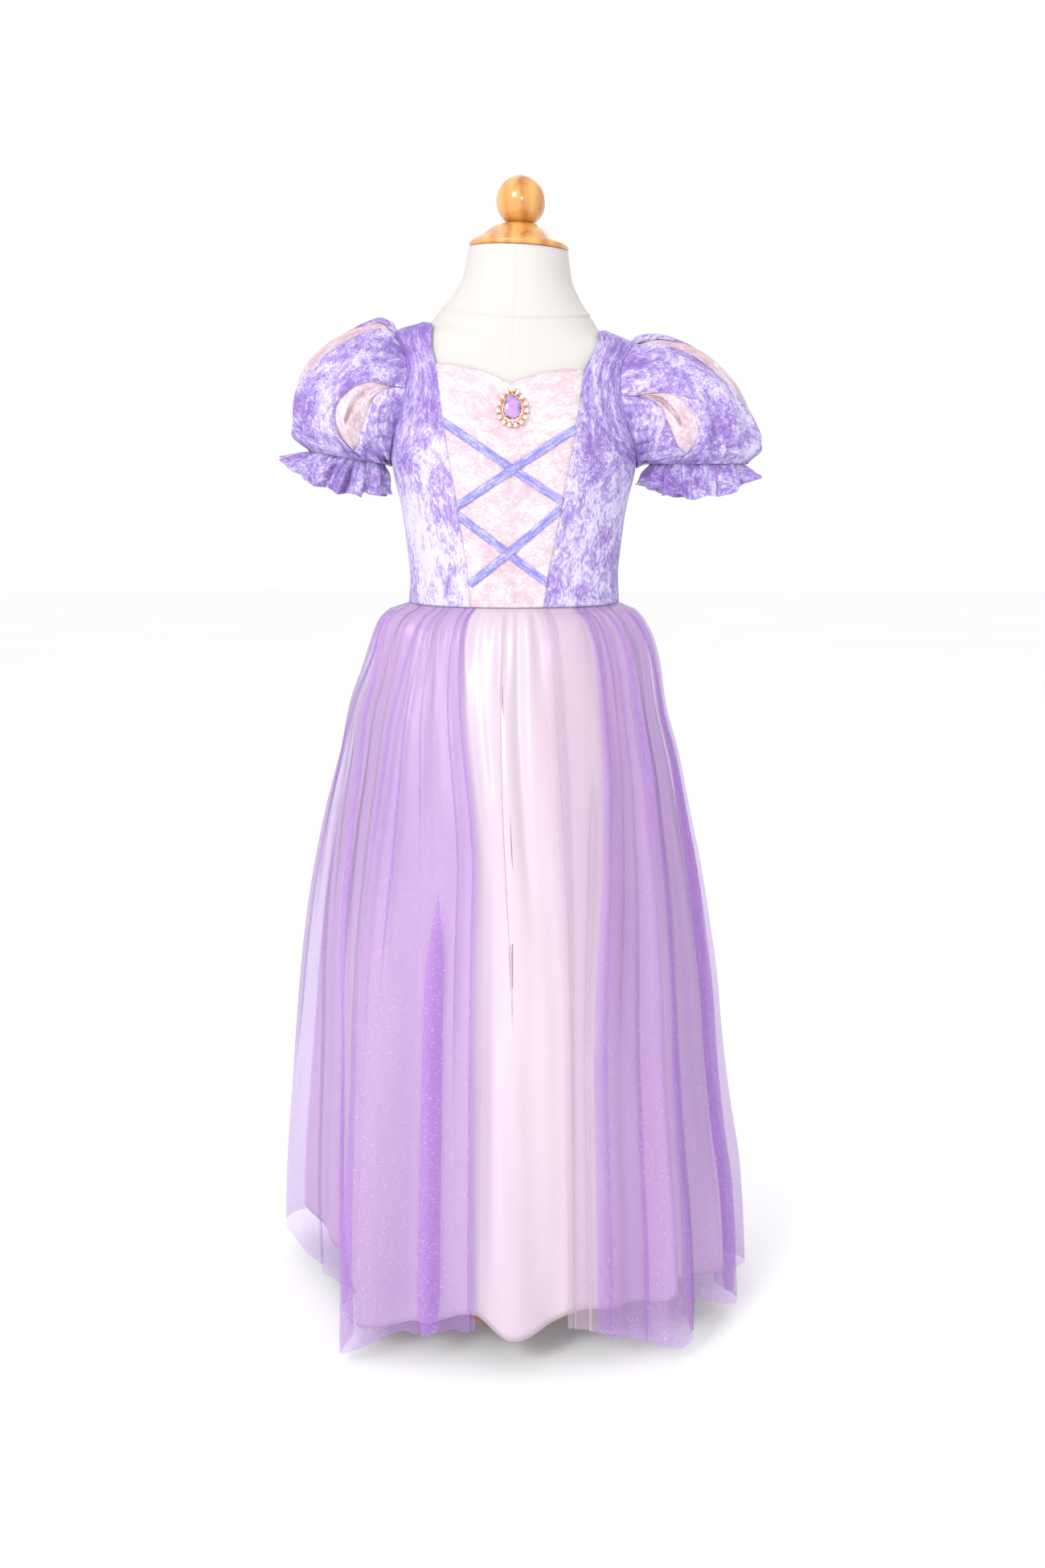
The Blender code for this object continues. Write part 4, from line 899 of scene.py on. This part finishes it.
def build_brooch():
    angle = angle_at_x(BROOCH_X, BROOCH_Z)
    middle = Vector(on_form(angle, BROOCH_Z, BODICE_OUTSIDE + 0.0003))
    outward = (Vector(on_form(angle, BROOCH_Z, BODICE_OUTSIDE + 0.01)) - middle).normalized()
    across = Vector((0, 0, 1)).cross(outward).normalized()
    place = Matrix((across, outward.cross(across), outward)).transposed().to_4x4()
    place.translation = middle

    setting = pear_rings(
        (
            ((0.0118, 0.0150), 0.0, 0),
            ((0.0121, 0.0153), 0.0006, 0),
            ((0.0119, 0.0151), 0.0013, 0),
            ((0.0096, 0.0124), 0.0016, 0),
            ((0.0089, 0.0116), 0.0031, 0),
            ((0.0084, 0.0110), 0.0032, 0),
            ((0.0082, 0.0108), 0.0018, 0),
        ),
        72,
    )
    for index in range(16):
        turn = 2 * math.pi * (index + 0.5) / 16
        x, y = teardrop(turn, (0.0128, 0.0162))
        for step in (-0.16, 0.16):
            cx, cy = teardrop(turn + step, (0.0136, 0.0171))
            claw = Matrix.Translation((cx, cy, 0.0022)) @ Matrix.Diagonal((0.55, 0.55, 1.3, 1))
            bmesh.ops.create_uvsphere(setting, u_segments=8, v_segments=6, radius=0.0009, matrix=claw)
        cup = Matrix.Translation((x, y, 0.0011)) @ Matrix.Diagonal((1, 1, 0.55, 1))
        bmesh.ops.create_uvsphere(setting, u_segments=14, v_segments=8, radius=0.0023, matrix=cup)
    for turn in (0.0, 1.25, 2.35, math.pi, -2.35, -1.25):
        x, y = teardrop(turn, (0.0084, 0.0109))
        prong = Matrix.Translation((x, y, 0.0035)) @ Matrix.Diagonal((1, 1, 1.5, 1))
        bmesh.ops.create_uvsphere(setting, u_segments=10, v_segments=8, radius=0.0009, matrix=prong)
    bmesh.ops.transform(setting, matrix=place, verts=setting.verts)
    add_piece("brooch_claws", setting, ROSE_GOLD, ["brooch_setting"])

    beads = bmesh.new()
    for index in range(16):
        x, y = teardrop(2 * math.pi * (index + 0.5) / 16, (0.0128, 0.0162))
        spot = Matrix.Translation((x, y, 0.0024))
        bmesh.ops.create_uvsphere(beads, u_segments=18, v_segments=12, radius=0.0020, matrix=spot)
    bmesh.ops.transform(beads, matrix=place, verts=beads.verts)
    add_piece("brooch_beads", beads, PEARL, [])

    stone = pear_rings(
        (
            ((0.0045, 0.0060), 0.0017, 0),
            ((0.0080, 0.0105), 0.0030, 0),
            ((0.0081, 0.0106), 0.0035, 0),
            ((0.0070, 0.0092), 0.0048, 0.5),
            ((0.0056, 0.0075), 0.0056, 0),
            ((0.0040, 0.0054), 0.0061, 0.5),
        ),
        16,
    )
    bmesh.ops.transform(stone, matrix=place, verts=stone.verts)
    made = add_piece("brooch_facets", stone, STONE, ["brooch_stone"])
    made.data.shade_flat()


# Sleeves


def through(places, points, at):
    """A smooth curve through points at the given places, for every vertex at once."""
    places, points = np.array(places), np.array(points)
    index = np.clip(np.searchsorted(places, at, "right") - 1, 0, len(places) - 2)
    step = (places[index + 1] - places[index])[:, None]
    part = ((at - places[index]) / (places[index + 1] - places[index]))[:, None]
    pick = np.arange(len(at))
    order = np.arange(len(places))
    low, high = np.maximum(order - 1, 0), np.minimum(order + 1, len(places) - 1)
    slope = (points[high] - points[low]) / (places[high] - places[low])[:, None, None]
    return (
        points[index, pick] * ((1 + 2 * part) * (1 - part) ** 2)
        + slope[index, pick] * (step * part * (1 - part) ** 2)
        + points[index + 1, pick] * (part**2 * (3 - 2 * part))
        + slope[index + 1, pick] * (step * part**2 * (part - 1))
    )


def armhole_point(turn, side):
    middle = (UNDERARM + SHOULDER_TIP) / 2
    z = middle + (SHOULDER_TIP - middle) * np.cos(turn)
    angle = angle_at_depth(-ARMHOLE_DEPTH * np.sin(turn), z)
    return on_form(angle * side, z, BODICE_OUTSIDE - 0.0012)


def ring_point(section, turn, side, drop=0.0):
    outer = np.array([section.outer_x, 0, section.outer_z])
    inner = np.array([section.inner_x, 0, section.inner_z])
    spot = (outer + inner) / 2 + np.cos(turn)[:, None] * (outer - inner) / 2
    spot[:, 1] = -section.half_depth * np.sin(turn)
    spot[:, 2] -= drop * np.sin(turn) ** 2
    spot[:, 0] *= side
    return spot


def clear_of_bodice(points, ease):
    z = points[:, 2] + LEAN_SLOPE * points[:, 0] * ramp(points[:, 2], LEAN_FROM, LEAN_FULL)
    angle = np.arctan2(points[:, 0], -points[:, 1])
    least = form_radius(angle, np.minimum(z, FORM_TOP)) + BODICE_OUTSIDE + ease
    apart = np.hypot(points[:, 0], points[:, 1])
    grow = np.where((apart < least) & (z < FORM_TOP), least / apart, 1.0)
    points[:, 0] *= grow
    points[:, 1] *= grow
    return points


def puff_point(side_name, turn, v, lift):
    side = -1 if side_name == "left" else 1
    sections = PUFFS[side_name]
    places = [0.0] + [section.v for section in sections]
    points = [armhole_point(turn, side)] + [ring_point(section, turn, side) for section in sections]
    across = [armhole_point(turn + math.pi, side)] + [ring_point(s, turn + math.pi, side) for s in sections]
    spot = through(places, points, v)
    middle = (spot + through(places, across, v)) / 2
    spot += unit(spot - middle) * lift[:, None]
    kept = clear_of_bodice(spot.copy(), 0.0014)
    return np.where((v > 0.015)[:, None], kept, spot)


def gather(turn, count, sway, phase):
    """Uneven gathers round a ring, from 0 in a sharp trough to 1 on a round ridge."""
    swayed = count * turn + sway * np.sin(3 * turn + phase) + 0.6 * np.sin(7 * turn + 2 * phase)
    return np.abs(np.sin(swayed / 2)) ** 0.75


# The tuck in each pink leaf: where it starts and stops down the sleeve, and where it lies across the leaf
LEAF_TUCKS = {
    "left": {"front": (0.22, 0.62, 0.40), "top": (0.10, 0.55, 0.45), "back": (0.15, 0.60, 0.50)},
    "right": {"front": (0.10, 0.56, 0.52), "top": (0.12, 0.50, 0.62), "back": (0.15, 0.60, 0.50)},
}


# Soft folds on each puff: turn and v of both ends, width in radians, and depth
PUFF_MARKS = {
    "left": (
        (1.00, 0.30, 1.18, 0.85, 0.10, -0.0030),
        (0.72, 0.25, 0.66, 0.80, 0.11, 0.0026),
        (1.95, 0.45, 1.80, 0.95, 0.10, 0.0030),
        (2.45, 0.40, 2.30, 0.95, 0.12, -0.0028),
        (0.30, 0.55, 0.45, 0.98, 0.09, -0.0026),
        (-0.60, 0.30, -0.70, 0.90, 0.12, 0.0028),
        (-1.05, 0.35, -1.20, 0.85, 0.10, -0.0028),
        (-2.10, 0.40, -1.95, 0.95, 0.11, 0.0028),
    ),
    "right": (
        (0.95, 0.22, 0.90, 0.78, 0.11, 0.0030),
        (1.25, 0.55, 1.40, 0.98, 0.09, -0.0030),
        (0.62, 0.40, 0.70, 0.95, 0.10, -0.0026),
        (2.15, 0.30, 1.98, 0.90, 0.11, -0.0028),
        (2.60, 0.45, 2.45, 0.95, 0.12, 0.0030),
        (-0.62, 0.35, -0.55, 0.92, 0.11, 0.0028),
        (-1.00, 0.30, -1.10, 0.85, 0.10, -0.0026),
        (-2.20, 0.35, -2.05, 0.95, 0.12, 0.0028),
    ),
}


def slash_angles(slash, v):
    middle = slash.top + (slash.bottom - slash.top) * v
    part = np.clip((v - slash.start) / (slash.end - slash.start), 0.0, 1.0)
    low = 1.3 if slash.name == "front" else 0.9
    return middle, slash.half * np.sin(math.pi * part**low) ** 0.8


def build_sleeve(side_name):
    front, top, back = SLASHES[side_name]
    flip = side_name == "right"
    phase = 0.7 if flip else 2.1

    def edge(slash, sign, turns=0.0, lap=0.25):
        def angle(v):
            middle, half = slash_angles(slash, v)
            return middle + turns + sign * (half + lap)

        return angle

    def leaf_lift(leaf, share, along):
        """A leaf lies under the petals' edges, puffed, with one tuck and small pulls at its top."""
        start, stop, middle = LEAF_TUCKS[side_name][leaf.name]
        puffed = 0.0030 * np.sin(math.pi * share) ** 2 * ramp(along, 0.15, 0.5)
        away = (share - middle - 0.10 * (along - start)) / (0.030 + 0.10 * ramp(along, stop, start))
        held = ramp(along, start, start + 0.1) * (1 - ramp(along, stop - 0.1, stop))
        tuck = -0.0075 * np.exp(-(away**2)) * held
        pulls = 0.0005 * np.cos(30 * share + 3 * np.sin(6 * along)) * (1 - ramp(along, 0.1, 0.4))
        return -0.0034 * ramp(along, -0.01, 0.06) + puffed + tuck + pulls

    def petal_lift(turn, share, along, width):
        """A petal is gathered into armhole and elastic, has soft folds, and turns under at its edges."""
        head = gather(turn, 27, 1.4, phase) * ramp(along, 0.005, 0.05) * (1 - ramp(along, 0.10, 0.42))
        reach = 0.50 + 0.16 * np.sin(5 * turn + phase) + 0.10 * np.sin(11 * turn)
        cuff = gather(turn, 17, 1.9, phase + 1) * ramp(along, reach, 0.95)
        cuff = cuff * (1 - 0.8 * ramp(along, 0.93, 1.0))
        small = gather(turn, 34, 1.1, phase) * ramp(along, 0.76, 0.97)
        near = np.where(turn > math.pi, turn - 2 * math.pi, turn)
        marks = creases(near, along, PUFF_MARKS[side_name]) * ramp(along, 0, 0.2)
        rim = np.minimum(share, 1 - share) * width * 0.055
        free = ramp(along, 0.0, 0.1) * (1 - ramp(along, 0.8, 0.95))
        rolled = -0.0024 * np.exp(-((rim / 0.0020) ** 2)) * free
        sewn_down = ramp(along, 0.86, 0.96)
        loose = 0.15 + 0.85 * (ramp(rim, 0.0, 0.012) * (1 - sewn_down) + sewn_down)
        return (0.0042 * head + 0.0080 * cuff + 1.4 * marks) * loose + 0.0026 * small + rolled

    def strip(name, low, high, columns, cut, material, slot, nodes, leaf=None):
        def surface(u, v):
            along = 1 - v
            if leaf:
                along = leaf.end + 0.03 - (leaf.end + 0.03) * v
            share = 1 - u if flip else u
            width = high(along) - low(along)
            turn = np.radians(low(along) + width * share)
            if leaf:
                lift = leaf_lift(leaf, share, along)
            else:
                lift = petal_lift(turn, share, along, np.radians(width))
            return puff_point(side_name, turn, along, lift)

        return cloth(name, surface, columns, 120, cut, material, nodes)

    prefix = f"sleeve_{side_name}_"
    strips = (
        ("petal_front", edge(top, 1), edge(front, -1), 90, (0.085, 0.13)),
        ("petal_back", edge(back, 1), edge(top, -1), 90, (0.115, 0.14)),
        ("underarm", edge(front, 1), edge(back, -1, 360.0), 130, (0.105, 0.09)),
    )
    for name, low, high, columns, cut in strips:
        node_name = prefix + name
        strip(node_name + "_velvet", low, high, columns, cut, LILAC_SLEEVE, "lilac_velvet", [node_name])
    for slash in SLASHES[side_name]:
        sides = [edge(slash, way, lap=3.2) for way in (-1, 1)]
        node_name = f"{prefix}insert_{slash.name}"
        cut = (0.060, 0.115) if slash.name == "top" else (0.032, 0.090)
        strip(node_name + "_velvet", *sides, 50, cut, PINK_LEAF, "pink_velvet", [node_name], leaf=slash)

    side = 1 if flip else -1
    last = PUFFS[side_name][-1]
    slant = unit(np.array([last.outer_x - last.inner_x, 0, last.outer_z - last.inner_z]))
    down = np.array([slant[2] * side, 0, -slant[0]])
    places = [0.0] + [section.v for section in FRILLS[side_name]]

    def frill(u, v):
        turn = 2 * math.pi * (u if side < 0 else 1 - u)
        along = 1 - v

        def rings(t):
            rim, far = ring_point(last, t, side), ring_point(last, t + math.pi, side)
            start = rim + unit(far - rim) * 0.0013 - down * 0.0008
            return [start] + [ring_point(s, t, side, s.drop) for s in FRILLS[side_name]]

        spot = through(places, rings(turn), along)
        outward = unit(spot - through(places, rings(turn + math.pi), along))
        wave = 0.0066 * np.cos(12 * turn + 1.6 * np.sin(2 * turn + phase)) * along**1.1
        wave = wave + 0.0030 * np.cos(25 * turn + 1.9 * np.sin(4 * turn)) * ramp(along, 0.02, 0.7)
        pinch = 0.0026 * gather(turn, 34, 1.1, phase) * (1 - ramp(along, 0.35, 0.9))
        curl = 0.0012 * ramp(along, 0.9, 1.0)
        spot += outward * (wave + pinch + curl)[:, None]
        spot[:, 2] += 0.0018 * np.cos(12 * turn + 1.2 + 0.9 * np.sin(2 * turn + phase)) * along**2
        return clear_of_bodice(spot, 0.0014)

    name, nodes = prefix + "frill_velvet", [prefix + "frill"]
    cloth(name, frill, 360, 26, (0.42, 0.027), LILAC_FRILL, nodes, closed=True)


# Skirt


def fold_sum(near, table=FOLDS):
    total = np.zeros(near.shape)
    for fold in table:
        away = (near - fold.place + 180.0) % 360.0 - 180.0
        part = np.clip(away / np.where(away > 0, fold.after, fold.before), -1, 1)
        total += fold.rise * np.cos(math.pi / 2 * part) ** 2
    return total


SKIRT_TOP = WAIST + 0.0016


def skirt_point(place, z, share, waist, below, extra=0.0):
    """The skirt at any place and height; extra moves it in or out."""
    near = (place + 60.0) % 360.0 - 60.0
    fallen = np.maximum(0.0, (WAIST - z) / WAIST)
    hold = 1 - np.where(near < 0, ramp(fallen, 0.0, 0.35), ramp(fallen, 0.05, 0.60))
    turn = np.where((near > -60) & (near < 100), read(SLANT, "turn", near), 0.0)
    angle = np.radians(near + turn * hold)
    side = np.where(np.sin(angle) > 0, read(FLARE, "right", z), read(FLARE, "left", z))
    radius = oval(angle, side, read(FLARE, "front", z), read(FLARE, "back", z), SKIRT_SQUARE)
    spread = ramp(fallen, 0.0, 0.12)
    grown = np.maximum(fallen, 0) ** 0.75
    radius = radius - FOLD_BASE * grown - LAYER_GAP * spread + share * grown * fold_sum(near)
    radius = radius + waist + (below - waist) * spread + extra
    tucked = 1 - ramp(SKIRT_TOP - z, 0.0014, 0.0100)
    radius = radius * (1 - tucked) + (form_radius(angle, WAIST) + 0.0012 + 0.3 * waist) * tucked
    return np.stack([radius * np.sin(angle), -radius * np.cos(angle), z], axis=-1)


def waist_gathers(place, fallen, depth, phase):
    turn = np.radians(place)
    fine = np.cos(47 * turn + 2.2 * np.sin(5 * turn + phase) + 1.1 * np.sin(11 * turn))
    wide = np.cos(23 * turn + 1.7 * np.sin(3 * turn + phase))
    return depth * (fine * (1 - ramp(fallen, 0.02, 0.16)) + 0.9 * wide * (1 - ramp(fallen, 0.08, 0.42)))


# Long folds of the satin: both ends (across the front, below the waist) and width in centimetres, and depth
CM_PER_DEGREE, SATIN_LENGTH = 0.4, 72.0
SATIN_MARKS = (
    (-2.0, 1.0, -1.8, 19.0, 0.9, -0.0022),
    (-1.6, 21.0, 0.2, 31.0, 1.1, -0.0014),
    (0.8, 3.0, 0.9, 24.0, 1.5, 0.0038),
    (-3.4, 4.0, -3.2, 20.0, 0.9, 0.0030),
    (-4.6, 20.0, -4.2, 62.0, 1.3, -0.0026),
    (-2.2, 34.0, -2.0, 64.0, 1.6, 0.0034),
    (-1.2, 45.0, 0.8, 60.0, 1.2, -0.0018),
    (2.4, 2.0, 3.4, 30.0, 0.9, -0.0026),
    (4.6, 26.0, 5.2, 66.0, 1.5, 0.0030),
    (1.6, 36.0, 2.2, 66.0, 1.4, -0.0024),
)


def build_skirt():
    def hem_of(name, place):
        return read(HEM, name, (place + 48.0) % 360.0 - 48.0)

    def satin(u, v):
        place = (180.0 + 360.0 * u) % 360.0
        near = (place + 180.0) % 360.0 - 180.0
        fallen = (1 - v) ** 1.25
        hem = hem_of("satin", place)
        z = SKIRT_TOP - (SKIRT_TOP - hem) * fallen
        down = (WAIST - z) / WAIST
        marks = creases(near * CM_PER_DEGREE, down * SATIN_LENGTH, SATIN_MARKS)
        extra = waist_gathers(place, down, 0.0016, 0.4) - 0.0006 + marks
        soft = np.radians(place)
        folds = 0.0016 * np.cos(soft * 13 + 2.6 * np.sin(soft * 4)) * ramp(down, 0.05, 0.9)
        return skirt_point(place, z, 0.80, 0.0, 0.0, extra + folds * (np.abs(near) > 20))

    gores = [f"skirt_satin_{part}" for part in ("front", "right", "back", "left")]
    cut = (1.42, 0.70)
    cloth("skirt_satin", satin, 900, 100, cut, SATIN, gores, wall=0.0006, closed=True)

    def pleated(base, down, pleats):
        """Where the cloth lies, in degrees, and how far each layer of it stands out."""
        place, out = base.copy(), np.zeros(base.shape)
        for pleat in pleats:
            span = pleat.width / 2.16
            t = (base - pleat.place) / span
            held = ramp(down, pleat.start - 0.06, pleat.start + 0.10) if pleat.start > 0 else 1.0
            held = held * (1 - ramp(down, pleat.end - 0.22, pleat.end))
            bell = t * np.exp(-np.minimum(t * t, 40))
            place -= 4.0 * span * bell * held
            out -= pleat.facing * pleat.apart * 2.33 * bell * held * (0.35 + 0.65 * ramp(down, 0.0, 0.5))
        return place, out

    def overskirt(start, end, layer_hem, share, waist, below, pleats, phase):
        def surface(u, v):
            base = start + (end - start) * u
            fallen = (1 - v) ** 1.25
            hem = hem_of(layer_hem, base)
            z = SKIRT_TOP - (SKIRT_TOP - hem) * fallen
            down = (WAIST - z) / WAIST
            place, out = pleated(base, down, pleats)
            soft = np.radians(base)
            ripple = 0.0022 * np.cos(soft * 41 + 2.5 * np.sin(soft * 6 + phase)) * ramp(down, 0.15, 0.8)
            extra = waist_gathers(base, down, 0.0015, phase) + out + ripple
            return skirt_point(place, z, share, waist, below, extra)

        return surface

    for name, start, end, nodes in (
        ("skirt_tulle_right", 26.0, 180.0, ["skirt_tulle_front_right", "skirt_tulle_back_right"]),
        ("skirt_tulle_left", 180.0, 347.5, ["skirt_tulle_back_left", "skirt_tulle_front_left"]),
    ):
        pleats = [pleat for pleat in PLEATS if start < pleat.place < end]
        surface = overskirt(start, end, "tulle", 1.0, 0.0030, LAYER_GAP + 0.001, pleats, 1.3)
        cloth(name, surface, 1000, 90, (0.92, 0.70), LILAC_TULLE, nodes, wall=0)
    flap_pleats = (Pleat(20.5, 1.2, -1, 0.0016, 0.0, 1.1), Pleat(24.5, 1.5, -1, 0.0016, 0.2, 1.1))
    surface = overskirt(18.0, 45.0, "tulle", 0.85, 0.0016, 0.0034, flap_pleats, 0.2)
    nodes = ["skirt_pale_flap"]
    cloth("skirt_pale_sheer", surface, 260, 90, (0.13, 0.69), PALE_TULLE, nodes, wall=0)


# Studio


Light = namedtuple("Light", "name place size watts")
LIGHTS = (
    Light("key", (-1.35, -2.2, 2.1), 0.9, 42.0),
    Light("front", (0.15, -2.6, 1.35), 0.5, 12.0),
    Light("rim", (0.9, 2.2, 2.0), 1.6, 10.0),
)
LIT_AT = Vector((0, 0, 0.55))
CAMERA_PLACE = (0.0082, -1.5, 0.85)
CAMERA_LOOKS_DOWN = 11.768
CAMERA_LENS, CAMERA_FILM = 35.45, 36.0


def build_studio():
    floor = bmesh.new()
    bmesh.ops.create_grid(floor, x_segments=2, y_segments=2, size=9.0)
    mesh = bpy.data.meshes.new("floor")
    floor.to_mesh(mesh)
    floor.free()
    greys = (0.3, (0.94, 0.94, 0.945)), (0.7, (0.96, 0.96, 0.965))
    mesh.materials.append(clouded("pale_floor", 2.0, 2.0, *greys, Roughness=0.9))
    ground = bpy.data.objects.new("floor", mesh)
    bpy.context.scene.collection.objects.link(ground)

    world = bpy.data.worlds.new("studio")
    bpy.context.scene.world = world
    world.use_nodes = True
    world.node_tree.nodes["Background"].inputs["Color"].default_value = (1.0, 1.0, 1.0, 1)
    world.node_tree.nodes["Background"].inputs["Strength"].default_value = 1.02
    for row in LIGHTS:
        light = bpy.data.lights.new(row.name, "AREA")
        light.energy = row.watts
        light.size = row.size
        lamp = bpy.data.objects.new(row.name, light)
        lamp.location = row.place
        lamp.rotation_euler = (LIT_AT - Vector(row.place)).to_track_quat("-Z", "Y").to_euler()
        bpy.context.scene.collection.objects.link(lamp)

    camera = bpy.data.objects.new("camera", bpy.data.cameras.new("camera"))
    camera.data.lens = CAMERA_LENS
    camera.data.sensor_width = CAMERA_FILM
    camera.location = CAMERA_PLACE
    camera.rotation_euler = (math.radians(90 - CAMERA_LOOKS_DOWN), 0, 0)
    bpy.context.scene.collection.objects.link(camera)
    bpy.context.scene.camera = camera
    bpy.context.scene.view_settings.view_transform = "Standard"


build_studio()
build_form()
build_bodice()
build_brooch()
build_sleeve("left")
build_sleeve("right")
build_skirt()
